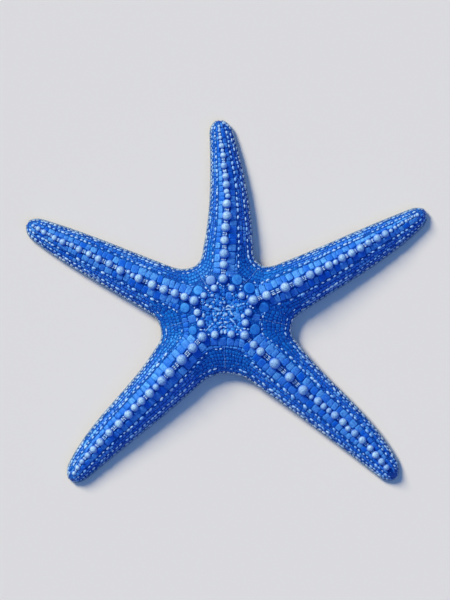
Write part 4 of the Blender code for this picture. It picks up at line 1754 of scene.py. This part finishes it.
@dataclass
class Back:
    """What grows on the upper side.

    The bar gaps are the least between tubercles with one link bar in it and with two, and the ranks are how
    far aside the bars lie. A seam has the shares where it begins and ends, and its number of pieces. The
    plate gap is a share of a plate's length, and a row of spinelets has a share, a tilt and a spacing.
    """

    plan: Plan
    skin: Object
    ground: Ground
    tree: StudTree
    scatter: StudTree
    bar_gaps: tuple[float, float] = (0.5, 2.0)
    bar_length: float = 2.6
    bar_ranks: tuple[float, ...] = (-0.75, 0.0, 0.75)
    seam: tuple[float, float, int] = (0.3, 0.85, 9)
    plate_gap: float = 0.7
    spinelet_rows: tuple[Triple, ...] = ((0.992, 0.35, 1.05), (1.0, 0.0, 0.95), (1.0, -0.45, 1.05))
    last_drop: float = 0.35

    def build(self) -> None:
        """Grows all of it."""
        self.tubercles()
        self.link_bars()
        self.plates()
        self.round_plates()
        self.courses()
        self.beads()
        self.crook_seams()
        self.disc()
        self.fringe()
        self.granules()

    def stand(self, studs: Studs, sets: list[Places]) -> None:
        """Stands a set of studs on several sets of places."""
        studs.stand(self.tree, sets, self.plan.centre)

    def on_line(self, sector: Sector, distance: Array, to_left: Array) -> Places:
        """Finds places beside the midline where a sector starts.

        Args:
            sector: The part of the body.
            distance: Of each from the ring's corner.
            to_left: How far each stands to the left of the line.

        Returns:
            The places.
        """
        line = sector.first
        place, along = line.on_crest(distance, to_left)
        onward = (sector.number + 0.5 * distance / line.length) / len(ARM_PLANS)
        unwrap = np.stack([onward, 0.5 + distance * 0, distance * 0], -1)
        return Places.of(place, UP + along * 0.1, along, unwrap)

    def tubercles(self) -> None:
        """Stands the large knobs along the midlines and round the ring."""
        sets = []
        for sector in self.plan.sectors:
            distance, to_left, radius = np.array(sector.first.plan.row).T
            sets.append(self.on_line(sector, distance, to_left).scaled(radius))
            spots, radius = circles(sector.first.plan.ring)
            sets.append(self.ground.places(spots, radius * 0).scaled(radius))
        studs = Studs(
            "tubercles", TUBERCLE_SKIN, (1.08, 1.08, 1.04), facets=(20, 14), uneven=(0.0, 0.0, 180), seed=11
        )
        self.stand(studs, [places.raised(places.size[:, 0] * TUBERCLE_LIFT) for places in sets])

    def link_bars(self) -> None:
        """Lays the short bars in the gaps between tubercles, three abreast."""
        chance = random.Random(5)
        sets = []
        for sector in self.plan.sectors:
            row = sector.first.plan.row
            for (near, near_left, near_size), (far, far_left, far_size) in zip(row, row[1:]):
                gap = far - far_size - near - near_size
                if gap < self.bar_gaps[0]:
                    continue
                count = 1 if gap < self.bar_gaps[1] else 2
                length = min(gap / count, self.bar_length)
                for step in range(count):
                    for aside in self.bar_ranks:
                        at = near + near_size + gap * (step + 0.5) / count + chance.uniform(-0.15, 0.15)
                        left = (near_left + far_left) / 2 + aside * (near_size + far_size) / 4.4
                        place = self.on_line(sector, np.array([at]), np.array([left]))
                        half = length / 2 * chance.uniform(0.75, 0.95)
                        sets.append(place.scaled(np.array([[half, 1.0, 1.0]])))
        studs = Studs(
            "link_bars", BAR_SKIN, (1, 0.31, 0.5), facets=(10, 6), squareness=0.8, lift=0.25,
            uneven=(0.12, 0.08, 10), seed=12,
        )
        self.stand(studs, sets)

    def plates(self) -> None:
        """Lays the cushion-like plates beside the midlines and round the ring, and small ones behind them."""
        chance = random.Random(21)
        plates, fillers = [], []
        rounds, radii = circles((*ROUND_PLATES, SIEVE_PLATE))
        for sector in self.plan.sectors:
            edge = sector.rows[0] * sector.width - PLATE_CLEARANCE
            inner = np.minimum(sector.plate_edge, edge)
            outer = np.minimum(edge, inner + PLATE_WIDTH)
            bands = ((inner, outer, PLATE_PITCH, plates), (outer, edge, FILLER_PITCH, fillers))
            for *band, kept in bands:
                places = sector.blocks(*band, chance)
                away = np.linalg.norm(places.position[:, None, :2] - rounds, axis=2)
                clear = (away - radii > self.plate_gap * places.size[:, :1]).all(axis=1)
                kept.append(places.chosen(clear & (places.size[:, :2] > LEAST_PLATE).all(axis=1)))
        studs = Studs(
            "back_plates", PLATE_SKIN, (1.0, 0.98, 0.6), Slot.SKIN, facets=(20, 8), squareness=0.36,
            flatness=0.5, lift=-0.14, uneven=(0.06, 0.14, 8), seed=22,
        )
        self.stand(studs, plates)
        studs = Studs(
            "filler_plates", PLATE_SKIN, (1, 1, 0.45), Slot.SKIN, facets=(12, 6), squareness=0.5, lift=-0.1,
            uneven=(0.05, 0.05, 6), seed=24,
        )
        self.stand(studs, fillers)

    def round_plates(self) -> None:
        """Lays the big flat plates outside the ring."""
        spots, radii = circles(ROUND_PLATES)
        places = self.ground.places(spots, radii * 40).scaled(radii[:, None] * np.array([1.05, 1, 0.24]))
        studs = Studs(
            "round_plates", ROUND_PLATE_SKIN, slot=Slot.SKIN, facets=(28, 12), flatness=0.4,
            uneven=(0.04, 0.1, 30), seed=23,
        )
        self.stand(studs, [places])

    def courses(self) -> None:
        """Lays the courses of small flat plates between the rows of beads."""
        chance = random.Random(26)
        plates, margins, crooks = [], [], []
        for sector in self.plan.sectors:
            lines = [row * sector.width for row in sector.rows]
            notch = sector.margin[round(sector.crook)]
            for inner, outer, kept in zip(lines, lines[1:], (plates, margins)):
                inner, outer = inner + BEAD_CLEARANCE, outer - BEAD_CLEARANCE
                for count, least, most in COURSES:
                    step = (outer - inner) / count
                    for number in range(count):
                        low = inner + step * number
                        places = sector.blocks(low, low + step, COURSE_PITCH, chance, CROOK_CROWDING)
                        strip = places.size[:, 1] * 2 * count + JOINT * count
                        fits = (strip > least) & (strip <= most) & (places.size[:, 0] > 0.15)
                        # Plates near a notch take the crook's darker finish, which is painted shade.
                        away = np.linalg.norm(places.position[:, :2] - notch, axis=1)
                        close = away < CROOK_SHADE_REACH * np.array([chance.uniform(0.75, 1.0) for _ in away])
                        kept.append(places.chosen(fits & ~close))
                        crooks.append(places.chosen(fits & close))
        for name, finish, height, sets in (
            ("small_plates", BRICK_SKIN, 0.34, plates),
            ("margin_plates", MARGIN_PLATE_SKIN, 0.34, margins),
            ("crook_plates", CROOK_SKIN, 0.28, crooks),
        ):
            studs = Studs(
                name, finish, (1, 1, height), Slot.SKIN, facets=(10, 6), squareness=0.45, lift=-0.04,
                uneven=(0.05, 0.05, 5), seed=27,
            )
            self.stand(studs, sets)

    def beads(self) -> None:
        """Stands the rows of pale beads, the last of them greyer and close to the margin."""
        chance = random.Random(31)
        rows = [[] for _ in BEAD_ROWS]
        for sector in self.plan.sectors:
            for share, row, kept_places in zip(sector.rows, BEAD_ROWS, rows):
                stations = sector.row(share, row.pitch, chance, row.spread, row.least, row.crowding)
                fading = row.fading * sector.nearness(stations)
                kept = np.array([chance.random() for _ in stations]) >= row.missing + 0.6 * fading
                stations, fading = stations[kept], fading[kept]
                places = sector.places(stations, sector.between(share, stations))
                girth = sector.slimness(stations) * (1 - 0.7 * fading)
                size = girth * np.array([chance.uniform(0.6, 1.2) for _ in stations])
                kept_places.append(places.scaled(size[:, None] * np.array(row.half_sizes)))
        for name, finish, sets in (
            ("beads", BEAD_SKIN, rows[0] + rows[1]),
            ("margin_beads", MARGIN_BEAD_SKIN, rows[2]),
        ):
            studs = Studs(name, finish, facets=(10, 7), lift=0.15, uneven=(0.1, 0.18, 14), seed=32)
            self.stand(studs, sets)

    def crook_seams(self) -> None:
        """Lays the fine pale seam up the middle of each crook between two arms."""
        sets = []
        for sector in self.plan.sectors:
            places = sector.places(sector.crook, np.linspace(*self.seam))
            places.along = unit(np.gradient(places.position, axis=0))
            sets.append(places)
        studs = Studs(
            "crook_seams", GRANULE_SKIN, (0.75, 0.15, 0.3), facets=(8, 5), lift=0.2,
            uneven=(0.2, 0.1, 5), seed=35,
        )
        self.stand(studs, sets)

    def disc(self) -> None:
        """Stands what lies inside the ring: blue plates, pale knobs and bars, and paving between them."""
        for name, finish, table, height, lift, facets, squareness, slot in (
            ("disc_plates", PLATE_SKIN, DISC_PLATES, 0.55, -0.05, (16, 8), 0.7, Slot.SKIN),
            ("disc_knobs", TUBERCLE_SKIN, DISC_KNOBS, 0.8, 0.15, (16, 10), 0.95, Slot.OSSICLE),
            ("disc_bars", BEAD_SKIN, DISC_BARS, 0.4, 0.25, (10, 7), 0.85, Slot.OSSICLE),
        ):
            spots = np.array(table)
            size = np.stack([spots[:, 2], spots[:, 3], height * np.minimum(1.0, spots[:, 3] + 0.3)], -1)
            places = self.ground.places(spots[:, :2], spots[:, 4]).scaled(size)
            studs = Studs(
                name, finish, slot=slot, facets=facets, squareness=squareness, lift=lift,
                uneven=(0.04, 0.05, 6), seed=43,
            )
            self.stand(studs, [places])
        paving = Studs(
            "disc_paving", DISC_SKIN, (0.95, 0.78, 0.42), Slot.SKIN, facets=(10, 6), squareness=0.6,
            uneven=(0.2, 0.0, 180), spacing=1.65, seed=44,
        )
        paving.strew(self.scatter, self.skin, "paving")
        grains = Studs(
            "disc_granules", GRANULE_SKIN, (0.32, 0.2, 0.3), lift=0.3, uneven=(0.3, 0.0, 180),
            spacing=1.9, seed=45,
        )
        grains.strew(self.scatter, self.skin, "paving")

    def fringe(self) -> None:
        """Stands the spinelets that fringe the whole outline, in three staggered rows."""
        chance = random.Random(51)
        sets = []
        for sector in self.plan.sectors:
            for number, (share, tilt, pitch) in enumerate(self.spinelet_rows, 1):
                stations = sector.row(share, pitch, chance, 0.15, 1.0)
                places = sector.places(stations, share)
                out = sector.between(sector.margin - sector.back, stations)
                along = places.along * np.array([1, 1, 0])
                aside = np.stack([along[:, 1], -along[:, 0]], -1)
                aside = unit(aside * np.sign(np.sum(aside * out, axis=1))[:, None])
                facing = np.insert(aside, 2, tilt, axis=1)
                drop = self.last_drop * (number == len(self.spinelet_rows))
                sets.append(Places.of(places.position - UP * drop, facing, along, places.unwrap))
        studs = Studs(
            "margin_spinelets", SPINELET_SKIN, (0.46, 0.24, 0.5), facets=(7, 5), squareness=0.75, lift=0.1,
            uneven=(0.12, 0.04, 8), seed=52,
        )
        self.stand(studs, sets)

    def granules(self) -> None:
        """Strews the few fine granules among the plates."""
        grains = Studs(
            "granules", GRANULE_SKIN, (0.19, 0.19, 0.24), facets=(6, 4), lift=0.3, uneven=(0.3, 0.0, 180),
            spacing=1.6, seed=62,
        )
        grains.strew(self.scatter, self.skin, "grains")


@dataclass
class Underside:
    """What grows under the body.

    The rows are given by their place across a groove's side, as a share of its half-width, and the spines'
    tilt. The least roof is the least height of a groove that has tube feet.
    """

    plan: Plan
    skin: Object
    tree: StudTree
    scatter: StudTree
    spine_rows: tuple[tuple[float, float], ...] = ((0.95, -0.25), (1.3, 0.15))
    spine_pitch: float = 1.5
    spine_height: float = 0.75
    foot_rows: tuple[float, ...] = (0.25, 0.62)
    foot_pitch: float = 1.45
    sucker_height: float = 0.32
    least_roof: float = 1.0

    def build(self) -> None:
        """Grows all of it."""
        self.furrow_spines()
        self.tube_feet()
        paving = Studs(
            "belly_granules", UNDER_SPINE_SKIN, (0.5, 0.42, 0.36), Slot.SKIN, facets=(6, 4), squareness=0.9,
            uneven=(0.25, 0.0, 180), spacing=1.5, seed=71,
        )
        paving.strew(self.scatter, self.skin, "belly")

    def _beside(self, sector: Sector, pitch: float, offset: float, chance: random.Random) -> list[Array]:
        """Spaces a row out beside a groove.

        Args:
            sector: The part of the body.
            pitch: Usual spacing.
            offset: How far from the groove's middle the row runs, as a share of its half-width.
            chance: Draws the unevenness.

        Returns:
            The places from above, the ways across to them and along the groove, and their stations.
        """
        stations = sector.row(0.0, pitch, chance, 0.1, 2.2)
        groove, margin = (sector.between(line, stations) for line in (sector.groove, sector.margin))
        width = np.linalg.norm(margin - groove, axis=1)
        half = np.minimum(GROOVE_HALF_WIDTH, GROOVE_WIDTH_SHARE * width)
        out = unit(margin - groove)
        along = np.insert(leftwards(out), 2, 0.0, axis=1)
        return [groove + out * (half * offset)[:, None], out, along, stations]

    def furrow_spines(self) -> None:
        """Stands the two ranks of blunt spines that fold over each groove."""
        chance = random.Random(72)
        sets = []
        for sector in self.plan.sectors:
            for offset, tilt in self.spine_rows:
                place, out, along, stations = self._beside(sector, self.spine_pitch, offset, chance)
                root = np.insert(place, 2, self.spine_height, axis=1)
                facing = np.insert(-out, 2, tilt, axis=1)
                unwrap = sector.unwrap(stations, stations * 0) * np.array([1, 0.5, 1])
                sets.append(Places.of(root, facing, along, unwrap).scaled(sector.slimness(stations)))
        studs = Studs(
            "furrow_spines", UNDER_SPINE_SKIN, (0.34, 0.3, 1.15), facets=(7, 6),
            uneven=(0.12, 0.08, 20), seed=73,
        )
        studs.stand(self.tree, sets, self.plan.centre)

    def tube_feet(self) -> None:
        """Stands two rows of tube feet in each side of every groove, each a stalk that ends in a sucker."""
        chance = random.Random(74)
        stalks, suckers = [], []
        for sector in self.plan.sectors:
            for offset in self.foot_rows:
                place, _, along, stations = self._beside(sector, self.foot_pitch, offset, chance)
                roof = GROOVE_SHARE * sector.between(sector.crest, stations) * math.sqrt(1 - offset**2)
                keep = roof > self.least_roof
                place, along, stations, roof = (part[keep] for part in (place, along, stations, roof))
                down = np.tile([0.0, 0.0, -1.0], (len(place), 1))
                unwrap = sector.unwrap(stations, stations * 0) * np.array([1, 0.4, 1])
                slim = sector.slimness(stations)
                middle = np.insert(place, 2, roof / 2 + 0.2, axis=1)
                size = np.stack([slim, slim, roof / 2], -1)
                stalks.append(Places.of(middle, down, along, unwrap).scaled(size))
                foot = np.insert(place, 2, self.sucker_height, axis=1)
                suckers.append(Places.of(foot, down, along, unwrap).scaled(slim))
        for name, half_sizes, facets, sets in (
            ("tube_foot_stalks", (0.42, 0.42, 1.0), (8, 5), stalks),
            ("tube_foot_suckers", (0.62, 0.62, 0.24), (9, 5), suckers),
        ):
            studs = Studs(name, FOOT_SKIN, half_sizes, Slot.SKIN, facets, uneven=(0.06, 0.1, 20), seed=75)
            studs.stand(self.tree, sets, self.plan.centre)


@dataclass
class SmallParts:
    """The parts that the frame has as nodes of their own: sieve plate, jaw plates and eye spots."""

    tree: StudTree
    patch: Triple = (0.95, 0.02, 0.0)

    def _in_place_of(self, studs: Studs, nodes: list[str]) -> None:
        """Stands a rounded part in place of each node, of the node's size and direction.

        Args:
            studs: The parts.
            nodes: The frame's nodes.
        """
        rows = []
        for node in nodes:
            mesh = bpy.data.objects[node].data
            points = np.array([vertex.co for vertex in mesh.vertices]) / MM
            middle = (points.min(0) + points.max(0)) / 2
            flat = points[:, :2] - middle[:2]
            along = np.linalg.eigh(flat.T @ flat)[1][:, 1]
            across = np.array([-along[1], along[0]])
            half = [np.ptp(flat @ along) / 2, np.ptp(flat @ across) / 2, np.ptp(points[:, 2]) / 2]
            rows.append((middle, UP, [*along, 0.0], half, self.patch))
        places = Places(*(np.array(column, float) for column in zip(*rows)))
        made = studs.stand(self.tree, [places], np.zeros(2))
        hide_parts(*nodes)

    def build(self) -> None:
        """Stands all of them."""
        numbers = range(1, len(ARM_PLANS) + 1)
        jaws = Studs("jaw_plates", UNDER_SPINE_SKIN, facets=(20, 12), squareness=0.85, seed=81)
        self._in_place_of(jaws, [f"mouth_plate_{number}" for number in numbers])
        eyes = Studs("eye_spots", EYE_SKIN, slot=Slot.EYE_SPOT, facets=(14, 9), seed=82)
        self._in_place_of(eyes, [f"eye_spot_{number}" for number in numbers])
        sieve = Studs("sieve_plate", SIEVE_SKIN, facets=(36, 18), squareness=0.85, seed=83)
        self._in_place_of(sieve, ["madreporite"])


@dataclass
class Studio:
    """The floor, the light and the camera, which looks straight down from some way aside of the middle.

    The floor lies a small gap under the animal, so that the two never share a face. A lamp has a name, the
    direction it comes from, how bright it makes a white surface, its width seen from the animal, and its
    colour. The room's light is dim and cool, and only the camera sees the wall.
    """

    view_height: float = 300.0
    lens: float = 400.0
    sensor: float = 36.0
    aside: tuple[float, float] = (-0.83, 0.6)
    floor_reach: float = 10000.0
    floor_gap: float = 0.05
    lamps: tuple[tuple[str, Triple, float, float, str], ...] = (
        ("key", (-0.59, 0.59, 0.545), 1.24, 22.0, "#FFF2DC"),
        ("fill", (0.55, -0.45, 0.7), 0.17, 60.0, "#84B0FF"),
    )
    room: float = 0.3
    cool: str = "#84B0FF"
    wall: str = "#E4E3E8"

    def build(self) -> None:
        """Builds all of it."""
        self._floor()
        self._world()
        self._lights()
        self._camera()

    def _floor(self) -> None:
        """Lays a wide plain board under the animal."""
        corners = np.array([[-1.0, -1, 0], [1, -1, 0], [1, 1, 0], [-1, 1, 0]]) * self.floor_reach
        mesh = mesh_of("floor", corners - UP * self.floor_gap, np.array([[0, 1, 2, 3]]))
        mesh.materials.append(FloorPaint().make())
        add_object("floor", mesh)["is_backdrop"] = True

    def _world(self) -> None:
        """Lights the room dimly, and gives it a plain wall."""
        world = bpy.data.worlds.new("studio")
        bpy.context.scene.world = world
        world.use_nodes = True
        tree = world.node_tree
        room = tree.nodes["Background"]
        room.inputs["Color"].default_value = linear(self.cool)
        room.inputs["Strength"].default_value = self.room
        wall = add_node(tree, "ShaderNodeBackground", {"Color": linear(self.wall), "Strength": 1.0})
        seen = add_node(tree, "ShaderNodeLightPath").outputs["Is Camera Ray"]
        sides = {"Fac": seen, 1: room.outputs["Background"], 2: wall.outputs["Background"]}
        both = add_node(tree, "ShaderNodeMixShader", sides)
        tree.links.new(both.outputs["Shader"], tree.nodes["World Output"].inputs["Surface"])

    def _lights(self) -> None:
        """Hangs the lamps."""
        for name, place, strength, spread, tone in self.lamps:
            light = bpy.data.lights.new(name, "SUN")
            light.energy = strength * math.pi
            light.color = linear(tone)[:3]
            light.angle = math.radians(spread)
            holder = add_object(name, light)
            holder.location = place
            holder.rotation_euler = (-Vector(place)).to_track_quat("-Z", "Y").to_euler()

    def _camera(self) -> None:
        """Hangs a long lens straight above the middle of the animal."""
        low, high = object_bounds()
        middle = (low + high) / 2
        camera = bpy.data.cameras.new("camera")
        camera.lens = self.lens
        camera.sensor_width = self.sensor
        camera.clip_start, camera.clip_end = 0.01, 10.0
        holder = add_object("camera", camera)
        distance = self.view_height * MM * self.lens / self.sensor
        place = [middle[axis] + self.aside[axis] * MM for axis in (0, 1)]
        holder.location = (*place, distance + MARGIN_SHARE * CREST_AT_RING * MM)
        bpy.context.scene.camera = holder


def main() -> None:
    """Builds the starfish round the frame and reports each piece."""
    logging.basicConfig(level=logging.INFO, format="%(message)s", stream=sys.stdout)
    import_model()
    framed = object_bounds()
    plan = Plan.on(*framed)
    studs, scatter = StudTree("studs", strewn=False), StudTree("scatter", strewn=True)
    skin = Skin(plan).build()
    Back(plan, skin, Ground.of(skin, plan.centre), studs, scatter).build()
    Underside(plan, skin, studs, scatter).build()
    SmallParts(studs).build()
    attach(skin, BODY)
    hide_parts("disc", *(f"arm_{number}" for number in range(1, len(ARM_PLANS) + 1)))
    Studio().build()
    bpy.context.scene.view_settings.view_transform = "Standard"


if __name__ == "__main__":
    main()
